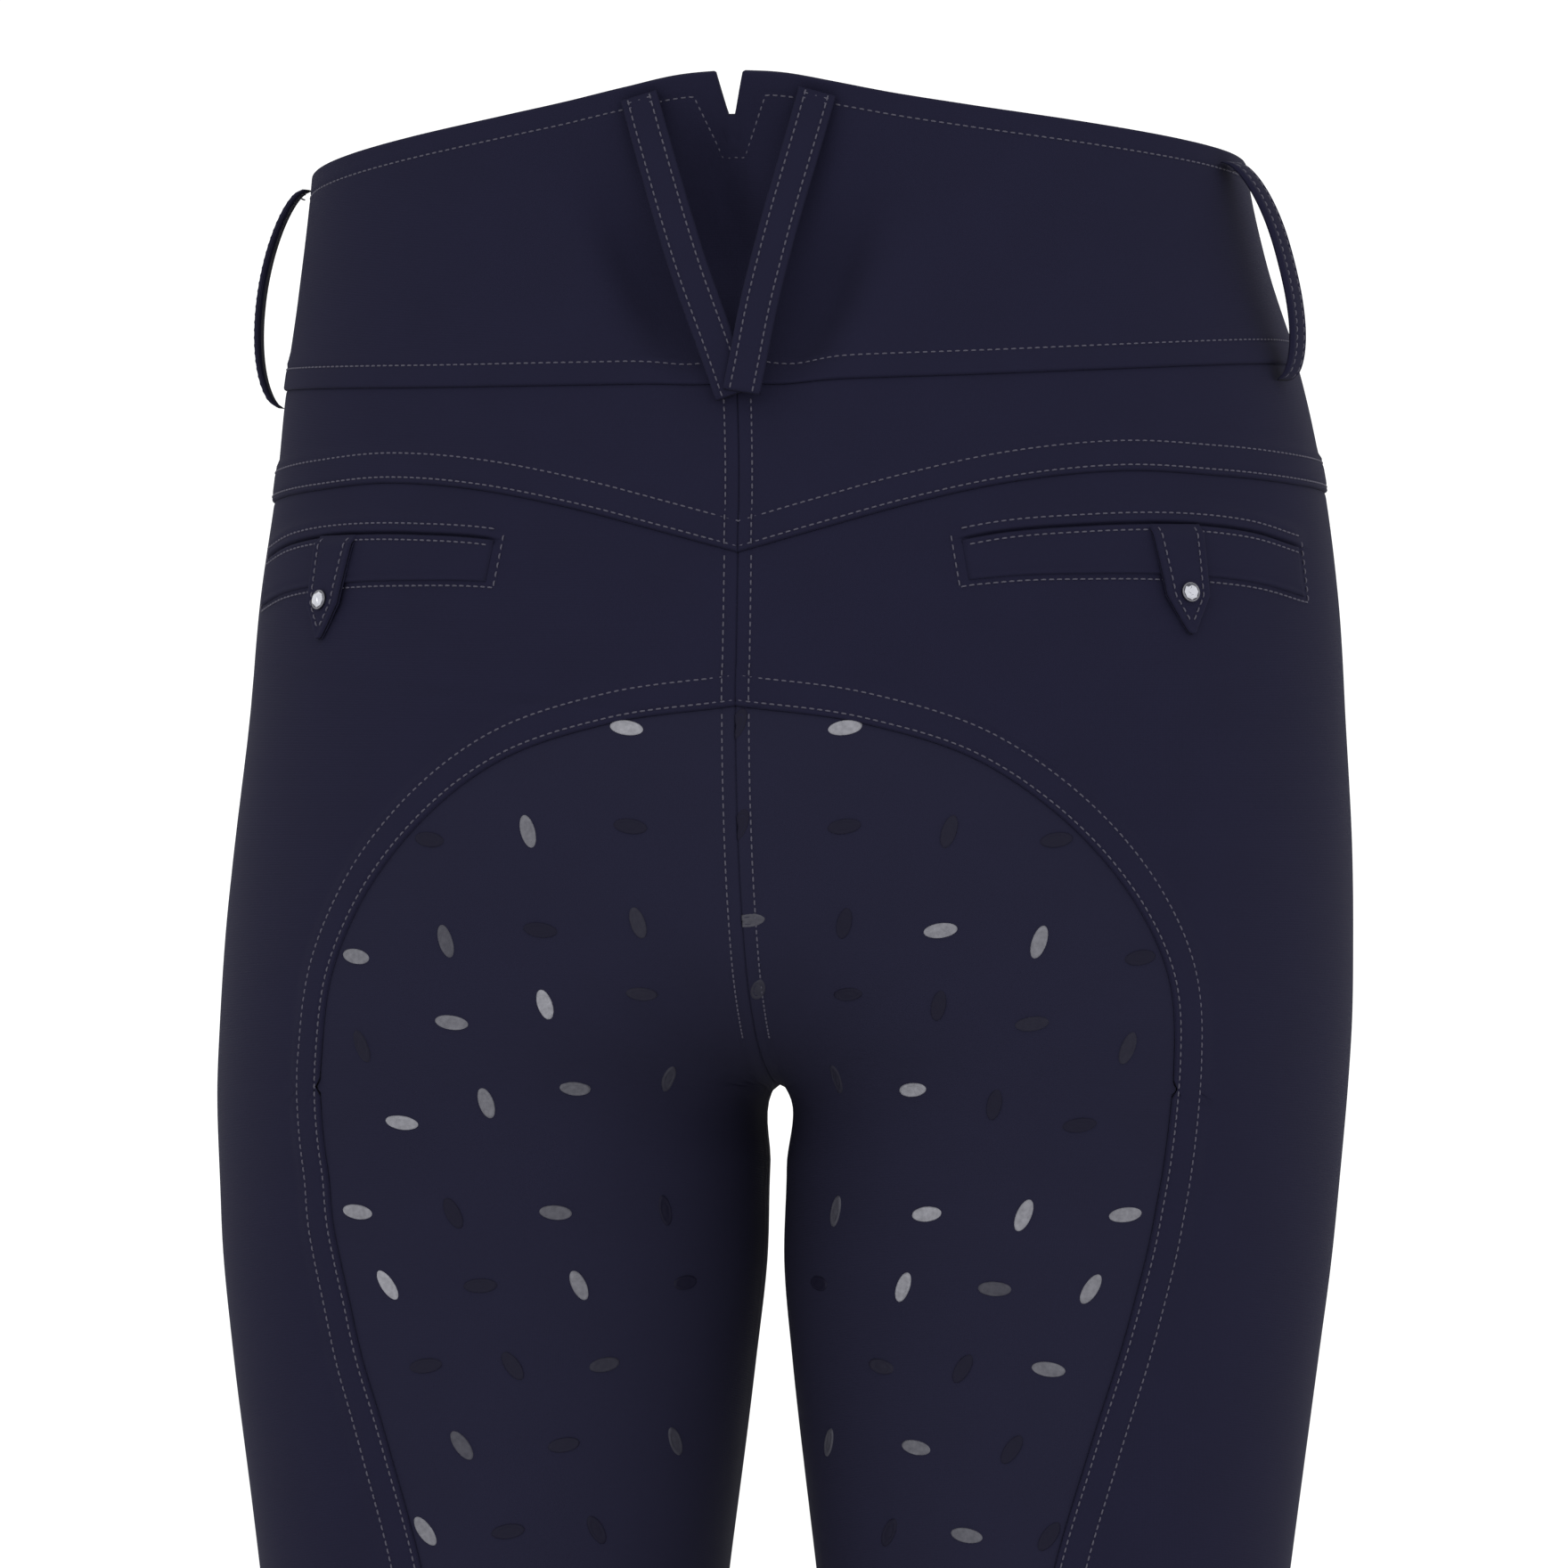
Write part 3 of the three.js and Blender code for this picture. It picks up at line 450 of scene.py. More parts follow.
@dataclass(frozen=True)
class Thread:
    """Topstitching thread and how it is sewn."""

    pitch: float = 2.5
    half: float = 0.92
    width: float = 0.29
    sides: int = 5

    def mesh(self, name: str, rows: list[ThreadRow]) -> bpy.types.Object:
        """Sews rows of stitches as one mesh.

        Every stitch is a short tube of rings that rises out of the cloth and sinks back into it.

        Args:
            name: Name of the new object.
            rows: The rows to sew.

        Returns:
            The new object.
        """
        centres, ways, outs = [], [], []
        for row in rows:
            far = along(row.points)
            count = max(1, int(far[-1] / self.pitch))
            at = (np.arange(count) + 0.5) * far[-1] / count
            centres.append(read_line(row.points, far, at))
            ways.append(unit(read_line(row.points, far, at + 0.6) - read_line(row.points, far, at - 0.6)))
            outs.append(unit(read_line(row.out, far, at)))
        centre, way, out = (np.concatenate(part)[:, None, None] for part in (centres, ways, outs))
        across = unit(np.cross(out, way))
        run = np.array([-1.0, -0.7, 0.0, 0.7, 1.0])[None, :, None, None] * self.half
        rise = np.array([-0.22, 0.06, 0.17, 0.06, -0.22])[None, :, None, None]
        thick = np.array([0.5, 0.92, 1.0, 0.92, 0.5])[None, :, None, None] * self.width
        turn = (2 * math.pi * np.arange(self.sides) / self.sides)[None, None, :, None]
        points = centre + way * run + out * rise + thick * (across * np.cos(turn) + out * np.sin(turn))
        return mesh_object(name, points.reshape(-1, 3), ring_faces(points.shape[:-1]))


def mesh_object(name: str, points: Array, faces: Array, uv: Array | None = None) -> bpy.types.Object:
    """Makes an object from points in millimetres and four-sided faces.

    Args:
        name: Name of the object and its mesh.
        points: One row for each point.
        faces: Four point numbers for each face.
        uv: One place in metres for each point, where the finish needs it.

    Returns:
        The new object, in the scene.
    """
    mesh = bpy.data.meshes.new(name)
    mesh.vertices.add(len(points))
    mesh.vertices.foreach_set("co", (np.asarray(points) * MM).astype(np.float32).ravel())
    mesh.loops.add(faces.size)
    mesh.loops.foreach_set("vertex_index", faces.astype(np.int32).ravel())
    mesh.polygons.add(len(faces))
    mesh.polygons.foreach_set("loop_start", np.arange(0, faces.size, 4, dtype=np.int32))
    mesh.polygons.foreach_set("use_smooth", np.ones(len(faces), bool))
    if uv is not None:
        layer = mesh.uv_layers.new(name="cloth")
        layer.data.foreach_set("uv", uv[faces.ravel()].astype(np.float32).ravel())
    mesh.update(calc_edges=True)
    mesh.validate()
    thing = bpy.data.objects.new(name, mesh)
    bpy.context.scene.collection.objects.link(thing)
    return thing


def grid_faces(ids: Array) -> Array:
    """Four-sided faces between the rows and columns of a grid of point numbers."""
    return np.stack([ids[:-1, :-1], ids[1:, :-1], ids[1:, 1:], ids[:-1, 1:]], -1).reshape(-1, 4)


def ring_faces(shape: tuple[int, ...]) -> Array:
    """Four-sided faces between closed rings. The last two sizes are the rings and their points."""
    ids = np.arange(math.prod(shape)).reshape(shape)
    after = np.roll(ids, -1, axis=-1)
    sides = [ids[..., :-1, :], after[..., :-1, :], after[..., 1:, :], ids[..., 1:, :]]
    return np.stack(sides, -1).reshape(-1, 4)


def turned_object(
    name: str, foot: Array, axis: Array, rings: Table, count: int, cut: bool = False,
) -> bpy.types.Object:
    """Turns rings of corners round an axis.

    Args:
        name: Name of the object.
        foot: The point of the axis at height 0.
        axis: Direction of the axis.
        rings: Height and radius of each ring.
        count: Corners in each ring.
        cut: Gives flat facets, with every second ring above the first two half a step on.

    Returns:
        The new object.
    """
    across = unit(np.cross(np.array([0.0, 0.0, 1.0]), axis))
    up = np.cross(axis, across)
    points = []
    for k, (high, radius) in enumerate(rings):
        step_on = 0.5 if cut and k > 1 and k % 2 else 0.0
        turn = 2 * math.pi * (np.arange(count) + step_on) / count
        ring = across * np.cos(turn)[:, None] + up * np.sin(turn)[:, None]
        points.append(foot + axis * high + ring * radius)
    thing = mesh_object(name, np.concatenate(points), ring_faces((len(rings), count)))
    if cut:
        thing.data.polygons.foreach_set("use_smooth", np.zeros(len(thing.data.polygons), bool))
    return thing


def cloth_object(name: str, face: Array, back: Array, uv: Array) -> bpy.types.Object:
    """Closes a sheet of cloth between two grids of points.

    Args:
        name: Name of the object.
        face: Grid of points on the outer face.
        back: The same grid on the inner face.
        uv: Places in metres, shared by both faces.

    Returns:
        The new object, with its faces turned outwards.
    """
    rows, columns = face.shape[:2]
    ids = np.arange(rows * columns).reshape(rows, columns)
    low = ids + rows * columns
    sides = [
        grid_faces(ids), grid_faces(low)[:, ::-1],
        grid_faces(np.stack([low[0], ids[0]])), grid_faces(np.stack([ids[-1], low[-1]])),
        grid_faces(np.stack([ids[:, 0], low[:, 0]], 1)[::-1][:, ::-1]),
        grid_faces(np.stack([ids[:, -1], low[:, -1]], 1)),
    ]
    faces = np.concatenate(sides)
    points = np.concatenate([face.reshape(-1, 3), back.reshape(-1, 3)])
    i, j = rows // 2, columns // 2
    turned = np.cross(face[i + 1 if i + 1 < rows else i - 1, j] - face[i, j], face[i, j - 1] - face[i, j])
    if i + 1 >= rows:
        turned = -turned
    if (turned * (face[i, j] - back[i, j])).sum() > 0:
        faces = faces[:, ::-1]
    flat_uv = uv.reshape(-1, 2)
    return mesh_object(name, points, faces, np.concatenate([flat_uv, flat_uv]))


def marks(length: float, step: float, near: bool = True, far: bool = True) -> Array:
    """Shares of a length that crowd towards its finished edges.

    Args:
        length: The length in millimetres.
        step: The step between the edges.
        near: Crowds the start.
        far: Crowds the end.

    Returns:
        Rising shares from 0 to 1.
    """
    crowd = EDGE_STEPS[EDGE_STEPS < length * 0.45]
    start = crowd if near else crowd[:1]
    end = length - (crowd if far else crowd[:1])[::-1]
    count = max(1, int(round((end[0] - start[-1]) / step)))
    middle = np.linspace(start[-1], end[0], count + 1)[1:-1]
    return np.concatenate([start, middle, end]) / length


def reading(values: Array, shares: Array) -> Array:
    """Reads a line of [v, z] at shares of its own length."""
    far = along(values * np.array([400.0, 1.0]))
    return read_line(values, far, shares * far[-1])


class Cut:
    """The seam lines of one half, each a line of [v, z]."""

    YOKE = (
        (0, -87.6), (0.02, -83.2), (0.06, -79.7), (0.15, -73.1), (0.28, -66.4), (0.42, -63.5),
        (0.58, -65), (0.8, -67.5), (1, -69),
    )
    POCKET_TOP = (
        (0, -101), (0.12, -90), (0.19, -84.5), (0.23, -82.5), (0.36, -79.8), (0.5, -79.5),
        (0.62, -81.5), (0.745, -86), (0.87, -88), (1, -88),
    )
    POCKET_LOW = (
        (0, -117), (0.12, -104), (0.19, -97.2), (0.23, -96), (0.36, -95), (0.5, -95.5),
        (0.62, -97.5), (0.745, -101.5), (0.87, -103), (1, -103),
    )
    POCKET_FROM = {Side.LEFT: 0.24, Side.RIGHT: 0.2}
    POCKET_TO = 0.745
    TOP_EDGE = (
        (0, 62.5), (0.025, 61.6), (0.059, 58.5), (0.098, 54.8), (0.145, 51.3), (0.236, 46),
        (0.355, 40.6), (0.5, 36), (0.75, 33), (1, 30),
    )
    ARCH = (
        (0, -135), (40, -140.5), (75, -152), (103, -173), (122, -198), (130, -217), (133, -245),
        (130.5, -281), (122, -325), (110, -366), (100, -401), (90, -470), (84, -560), (80, -620),
        (80, -700), (84, -790), (88, -870), (89, HEM),
    )
    ARCH_TURN = 4  # the corner where the grids of the panels turn

    def __init__(self, form: Form) -> None:
        self.form = form
        x, z = np.array(self.ARCH, float).T
        steps = np.concatenate([[0.0], np.cumsum(np.hypot(np.diff(x), np.diff(z)))])
        corner = steps[self.ARCH_TURN]
        fine = np.concatenate([np.linspace(0, corner, 61), np.linspace(corner, steps[-1], 301)[1:]])
        fine_x, fine_z = through(fine, steps, x), through(fine, steps, z)
        whole = np.stack([form.v_back(fine_x, fine_z), fine_z], -1)
        whole[0, 0] = 0.0
        self.arch, self.arch_top, self.arch_low = whole, whole[:61], whole[60:]

    def band_z(self, v: Array) -> Array:
        """Height of the waistband's lower seam."""
        return -34.5 + 4 * np.sin(math.pi * share_of(v)) ** 2

    def top_z(self, v: Array) -> Array:
        """Height of the waistband's top edge: high at the back, lower at the sides and front."""
        return through(share_of(v), *np.array(self.TOP_EDGE).T)

    def side(self, z: Array) -> Array:
        """The side seam at heights."""
        return np.stack([self.form.v_share(np.ones_like(z), z), z], -1)

    def across(self, table: Table, shares: Array) -> Array:
        """A line over the back from the centre to the side seam, from a table of share and z.

        The table is read by distance round the cloth, so that the line meets the centre at a point.
        """
        far = self.form.v_share(1.0, table[-1][1])
        share = share_of(shares * far) / share_of(far)
        known, known_z = np.array(table, float).T
        fine = np.linspace(0, 1, 200) ** 2
        rough = self.form.place(1, self.form.v_share(fine, np.interp(fine, known, known_z)), -75.0)
        walked = along(rough)
        z = through(np.interp(share, fine, walked), np.interp(known, fine, walked), known_z)
        return np.stack([self.form.v_share(share, z), z], -1)

    def band_line(self, shares: Array) -> Array:
        """The waistband's lower seam from the centre back to the side seam."""
        v = shares * self.form.v_share(1.0, -31.0)
        return np.stack([v, self.band_z(v)], -1)


@dataclass(frozen=True)
class ClothFinish:
    """Softshell cloth: a fine woven face with soft colour unevenness and a slight sheen."""

    name: str
    colour: Colour
    uneven: float = 0.16
    weave_mm: float = 0.9
    bump: float = 0.32
    roughness: float = 0.9
    sheen: float = 0.01

    def material(self) -> bpy.types.Material:
        """Builds the node material."""
        made, nodes = node_material(self.name)
        shader = nodes.add("ShaderNodeBsdfPrincipled", {
            "Sheen Weight": self.sheen, "Sheen Roughness": 0.45, "Sheen Tint": (0.62, 0.6, 0.85, 1.0),
            "Specular IOR Level": 0.07,
        })
        place = nodes.add("ShaderNodeUVMap")
        place.uv_map = "cloth"
        weave = nodes.group(weave_group(), {"Pitch": self.weave_mm * MM})
        nodes.join(place.outputs["UV"], weave.inputs["Place"])
        tint = weave.outputs["Tint"]
        dark, light = scaled(self.colour, 1 - self.uneven), scaled(self.colour, 1 + self.uneven)
        nodes.mixed(tint, dark, light, shader.inputs["Base Color"])
        nodes.ranged(tint, self.roughness - 0.07, self.roughness + 0.08, shader.inputs["Roughness"])
        nodes.bumped(weave.outputs["Height"], self.bump, 0.12, shader)
        nodes.show(shader)
        return made


@dataclass(frozen=True)
class SpeckledFinish:
    """A small hard or twisted thing whose colour and gloss vary a little over it."""

    name: str
    colour: Colour
    roughness: float
    metal: float = 0.0
    grain_mm: float = 2.0
    uneven: float = 0.15
    coat: float = 0.0
    bump: float = 0.1

    def material(self) -> bpy.types.Material:
        """Builds the node material."""
        made, nodes = node_material(self.name)
        shader = nodes.add("ShaderNodeBsdfPrincipled", {
            "Metallic": self.metal, "Coat Weight": self.coat, "Coat Roughness": 0.08,
        })
        noise = nodes.grain(self.grain_mm)
        dark, light = scaled(self.colour, 1 - self.uneven), scaled(self.colour, 1 + self.uneven)
        nodes.mixed(noise, dark, light, shader.inputs["Base Color"])
        nodes.ranged(noise, self.roughness * 0.8, self.roughness * 1.2, shader.inputs["Roughness"])
        nodes.bumped(noise, self.bump, 0.1, shader)
        nodes.show(shader)
        return made


@dataclass(frozen=True)
class GripFinish:
    """Clear silicone over dark cloth. Each oval's own gloss sets its roughness, specular level and coat, and
    also mixes its base colour towards a pale grey, a painted highlight for the glossier ovals.
    """

    name: str
    dull: Colour
    painted_glint_colour: Colour

    def material(self) -> bpy.types.Material:
        """Builds the node material."""
        made, nodes = node_material(self.name)
        shader = nodes.add("ShaderNodeBsdfPrincipled", {"Coat Roughness": 0.2})
        given = nodes.add("ShaderNodeAttribute")
        given.attribute_name = "gloss_and_painted_glint"
        gloss_and_painted_glint, noise = given.outputs["Fac"], nodes.grain(1.6)
        painted_glint_mix = nodes.math("MULTIPLY", gloss_and_painted_glint, nodes.math("ADD", noise, 0.45))
        # Painted highlight: the glossier an oval, the paler its base colour, as if it caught the lamps.
        nodes.mixed(painted_glint_mix, scaled(self.dull, 1.0), scaled(self.painted_glint_colour, 1.0), shader.inputs["Base Color"])
        nodes.ranged(gloss_and_painted_glint, 0.55, 0.32, shader.inputs["Roughness"])
        nodes.ranged(gloss_and_painted_glint, 0.07, 0.45, shader.inputs["Specular IOR Level"])
        nodes.join(nodes.math("MULTIPLY", gloss_and_painted_glint, 0.3), shader.inputs["Coat Weight"])
        nodes.bumped(noise, 0.2, 0.1, shader)
        nodes.show(shader)
        return made


class Nodes:
    """Adds and joins the nodes of one tree."""

    def __init__(self, tree: bpy.types.NodeTree) -> None:
        self.tree = tree

    def add(self, kind: str, values: dict[str, object] | None = None) -> bpy.types.Node:
        """Adds a node and sets its open sockets by name.

        Args:
            kind: The node's type.
            values: Socket names and their values. A Mix node is made a colour mix.

        Returns:
            The new node.
        """
        node = self.tree.nodes.new(kind)
        if kind == "ShaderNodeMix":
            node.data_type = "RGBA"
        for name, value in (values or {}).items():
            sockets = [s for s in node.inputs if s.name == name and s.enabled]
            sockets[0].default_value = value
        return node

    def group(self, tree: bpy.types.NodeTree, values: dict[str, float]) -> bpy.types.Node:
        """Adds a node group and sets its sockets by name."""
        node = self.tree.nodes.new("ShaderNodeGroup")
        node.node_tree = tree
        for name, value in values.items():
            node.inputs[name].default_value = value
        return node

    def math(self, kind: str, first: object, second: object = 0.0) -> Socket:
        """Adds one sum. Each side is a number or a socket."""
        node = self.tree.nodes.new("ShaderNodeMath")
        node.operation = kind
        for socket, value in zip(node.inputs, (first, second)):
            if isinstance(value, Socket):
                self.join(value, socket)
            else:
                socket.default_value = value
        return node.outputs[0]

    def join(self, start: Socket, end: Socket) -> None:
        """Joins an output to an input. A colour mix has several sockets of one name."""
        if end.node.bl_idname == "ShaderNodeMix" or start.node.bl_idname == "ShaderNodeMix":
            end = next(s for s in end.node.inputs if s.name == end.name and s.enabled)
            start = next(s for s in start.node.outputs if s.name == start.name and s.enabled)
        self.tree.links.new(start, end)

    def grain(self, size_mm: float) -> Socket:
        """Noise of a grain size over the object."""
        place = self.add("ShaderNodeTexCoord")
        noise = self.add("ShaderNodeTexNoise", {"Scale": 1 / (size_mm * MM), "Detail": 3.0})
        self.join(place.outputs["Object"], noise.inputs["Vector"])
        return noise.outputs["Fac"]

    def mixed(self, factor: Socket, dark: object, light: object, end: Socket) -> None:
        """Joins two colours, mixed by a factor, to a socket."""
        mix = self.add("ShaderNodeMix", {"A": dark, "B": light})
        self.join(factor, mix.inputs["Factor"])
        self.join(mix.outputs["Result"], end)

    def ranged(self, value: Socket, low: float, high: float, end: Socket) -> None:
        """Joins a value, fitted between two limits, to a socket."""
        fitted = self.add("ShaderNodeMapRange", {"To Min": low, "To Max": high})
        self.join(value, fitted.inputs["Value"])
        self.join(fitted.outputs["Result"], end)

    def bumped(self, height: Socket, strength: float, deep_mm: float, shader: bpy.types.Node) -> None:
        """Roughens a shader's normal by a height."""
        bump = self.add("ShaderNodeBump", {"Strength": strength, "Distance": deep_mm * MM})
        self.join(height, bump.inputs["Height"])
        self.join(bump.outputs["Normal"], shader.inputs["Normal"])

    def show(self, shader: bpy.types.Node) -> None:
        """Joins a shader to a new material output."""
        out = self.tree.nodes.new("ShaderNodeOutputMaterial")
        self.tree.links.new(shader.outputs[0], out.inputs["Surface"])


def scaled(colour: Colour, by: float) -> tuple[float, float, float, float]:
    """A colour made lighter or darker, with alpha 1."""
    return (colour[0] * by, colour[1] * by, colour[2] * by, 1.0)


def node_material(name: str) -> tuple[bpy.types.Material, Nodes]:
    """A new empty node material."""
    made = bpy.data.materials.new(name)
    made.use_nodes = True
    made.node_tree.nodes.clear()
    return made, Nodes(made.node_tree)


def weave_group() -> bpy.types.NodeTree:
    """The shared weave: crossing yarns at a pitch, and uneven dye at two sizes.

    Returns:
        A group whose Height is the yarns' relief and whose Tint runs from dark to light.
    """
    if "softshell_weave" in bpy.data.node_groups:
        return bpy.data.node_groups["softshell_weave"]
    tree = bpy.data.node_groups.new("softshell_weave", "ShaderNodeTree")
    for name, way, kind in (
        ("Place", "INPUT", "Vector"), ("Pitch", "INPUT", "Float"),
        ("Height", "OUTPUT", "Float"), ("Tint", "OUTPUT", "Float"),
    ):
        tree.interface.new_socket(name, in_out=way, socket_type="NodeSocket" + kind)
    nodes = Nodes(tree)
    given, taken = nodes.add("NodeGroupInput"), nodes.add("NodeGroupOutput")
    parts = nodes.add("ShaderNodeSeparateXYZ")
    nodes.join(given.outputs["Place"], parts.inputs[0])
    turn = nodes.math("DIVIDE", 2 * math.pi, given.outputs["Pitch"])
    along_u = nodes.math("MULTIPLY", parts.outputs["X"], turn)
    along_v = nodes.math("MULTIPLY", parts.outputs["Y"], turn)
    warp = nodes.math("SINE", nodes.math("ADD", along_u, along_v))
    weft = nodes.math("SINE", nodes.math("SUBTRACT", along_u, along_v))
    yarns = nodes.math("MULTIPLY_ADD", nodes.math("MULTIPLY", warp, weft), 0.5)
    yarns.node.inputs[2].default_value = 0.5
    noises = []
    for scale in (1 / (1.1 * MM), 1 / (26 * MM)):
        noise = nodes.add("ShaderNodeTexNoise", {"Scale": scale, "Detail": 4.0})
        nodes.join(given.outputs["Place"], noise.inputs["Vector"])
        noises.append(noise.outputs["Fac"])
    nodes.join(nodes.math("ADD", yarns, noises[0]), taken.inputs["Height"])
    grainy = nodes.math("MULTIPLY_ADD", noises[0], 0.45)
    nodes.join(nodes.math("MULTIPLY", noises[1], 0.55), grainy.node.inputs[2])
    nodes.join(grainy, taken.inputs["Tint"])
    return tree


class Slot(Enum):
    """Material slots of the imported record."""

    CLOTH = "navy_softshell"
    SEAT = "grip_seat_cloth"
    STONE = "cut_stone"
    BUTTON = "dark_button"


@dataclass
class Wardrobe:
    """Finishes the pieces and keeps what they share."""

    cloth: ClothFinish = ClothFinish("navy_softshell_cloth", (0.0106, 0.0103, 0.0250))
    # Painted light: the seat patch is the same cloth as the rest, given a slightly lighter colour so that the
    # seat looks more brightly lit.
    seat: ClothFinish = ClothFinish("seat_softshell_painted_lighter", (0.0122, 0.0120, 0.0268), uneven=0.12)
    thread: SpeckledFinish = SpeckledFinish(
        "topstitch_thread", (0.052, 0.049, 0.074), 0.75, grain_mm=0.4, bump=0.3,
    )
    # The pale second colour of the grip is a painted highlight for its glossiest ovals.
    grip: GripFinish = GripFinish("grip_silicone", (0.0085, 0.008, 0.018), (0.25, 0.25, 0.28))
    stone: SpeckledFinish = SpeckledFinish(
        "cut_glass", (0.5, 0.51, 0.56), 0.1, metal=0.85, grain_mm=1.2, coat=1.0, bump=0.0,
    )
    setting: SpeckledFinish = SpeckledFinish("setting_metal", (0.16, 0.16, 0.18), 0.28, metal=1.0)
    button: SpeckledFinish = SpeckledFinish("button_resin", (0.02, 0.02, 0.03), 0.35, coat=0.3)
    made: dict[str, bpy.types.Material] = field(default_factory=dict)

    def dress(self, thing: bpy.types.Object, *finishes: ClothFinish | SpeckledFinish | GripFinish) -> None:
        """Gives an object its finishes, in slot order, and lets it ride on the one body."""
        for finish in finishes:
            if finish.name not in self.made:
                self.made[finish.name] = finish.material()
            thing.data.materials.append(self.made[finish.name])
        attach(thing, "root")

    def cover(
        self, node: str, face: Array, back: Array, uv: Array,
        finish: ClothFinish | None = None,
    ) -> bpy.types.Object:
        """Makes the cloth that is seen in place of a node."""
        thing = cloth_object(node + "_cloth", face, back, uv)
        self.dress(thing, finish or self.cloth)
        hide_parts(node)
        LOG.info("%s: %.4f m round", node, run_of_rows(face)[:, -1].max() * MM)
        return thing


@dataclass
class Sheet:
    """A cloth piece: its grid of places, the finish of its edges and its cut.

    Attributes:
        name: The node that it stands for.
        side: Sign of x.
        places: Grid of [v, z].
        edges: Each edge's line of points and kind.
        cut: Width and length of the cut, in metres, and its area in square metres. Not used.
        thick: Thickness of the cloth.
        raised: Height of the whole piece over the form.
        extra: Height added at each grid point, if any.
    """

    name: str
    side: float
    places: Array
    edges: list[tuple[Array, Edge]]
    cut: tuple[float, float, float]
    thick: float = CLOTH
    raised: float = 0.0
    extra: Array | None = None

    def build(self, form: Form, wardrobe: Wardrobe, finish: ClothFinish, slot: Slot) -> None:
        v, z = self.places[..., 0], self.places[..., 1]
        base = form.place(self.side, v, z)
        height = np.full(v.shape, self.raised)
        for line, kind in self.edges:
            height = height + kind.height(distance_to(base, line))
        if self.extra is not None:
            height = height + self.extra
        face, out = form.lift(self.side, v, z, height)
        back = form.lift(self.side, v, z, np.minimum(self.raised - self.thick, height - 0.35))[0]
        start = np.abs(face[:, :1, 0])
        uv = np.stack([run_of_rows(face) + start, face[..., 2]], -1) * MM
        thing = wardrobe.cover(self.name, face, back, uv, finish)


def row_on(form: Form, side: float, line: Array, height: float | Array) -> ThreadRow:
    """A stitch row along a line of [v, z] at a height over the surface."""
    points, out = form.lift(side, line[:, 0], line[:, 1], height)
    return ThreadRow(points, out)


def beside(form: Form, side: float, line: Array, by: float) -> Array:
    """A line of [v, z] moved sideways along the surface.

    Args:
        form: The surface.
        side: Sign of x.
        line: The line to move, from its first point to its last.
        by: Distance to the left of its way, seen from outside on the right half.

    Returns:
        The moved line.
    """
    points = form.place(side, line[:, 0], line[:, 1])
    way = unit(np.gradient(points, axis=0))
    out = form.normal(side, line[:, 0], line[:, 1])
    move = unit(np.cross(out, way)) * by * side
    v, z = form.slide(side, line[:, 0], line[:, 1], move)
    return np.stack([v, z], -1)


def patch(top: Array, bottom: Array, left: Array, right: Array, s: Array, t: Array) -> Array:
    """Fills a four-sided patch between its boundary lines.

    Each place is the two blends between opposite lines added, less the blend of the corners.
    """
    a, b = s[None, :, None], t[:, None, None]
    blend_rows = (1 - b) * top[None] + b * bottom[None]
    blend_columns = (1 - a) * left[:, None] + a * right[:, None]
    corners = (1 - b) * ((1 - a) * top[0] + a * top[-1]) + b * ((1 - a) * bottom[0] + a * bottom[-1])
    return blend_rows + blend_columns - corners


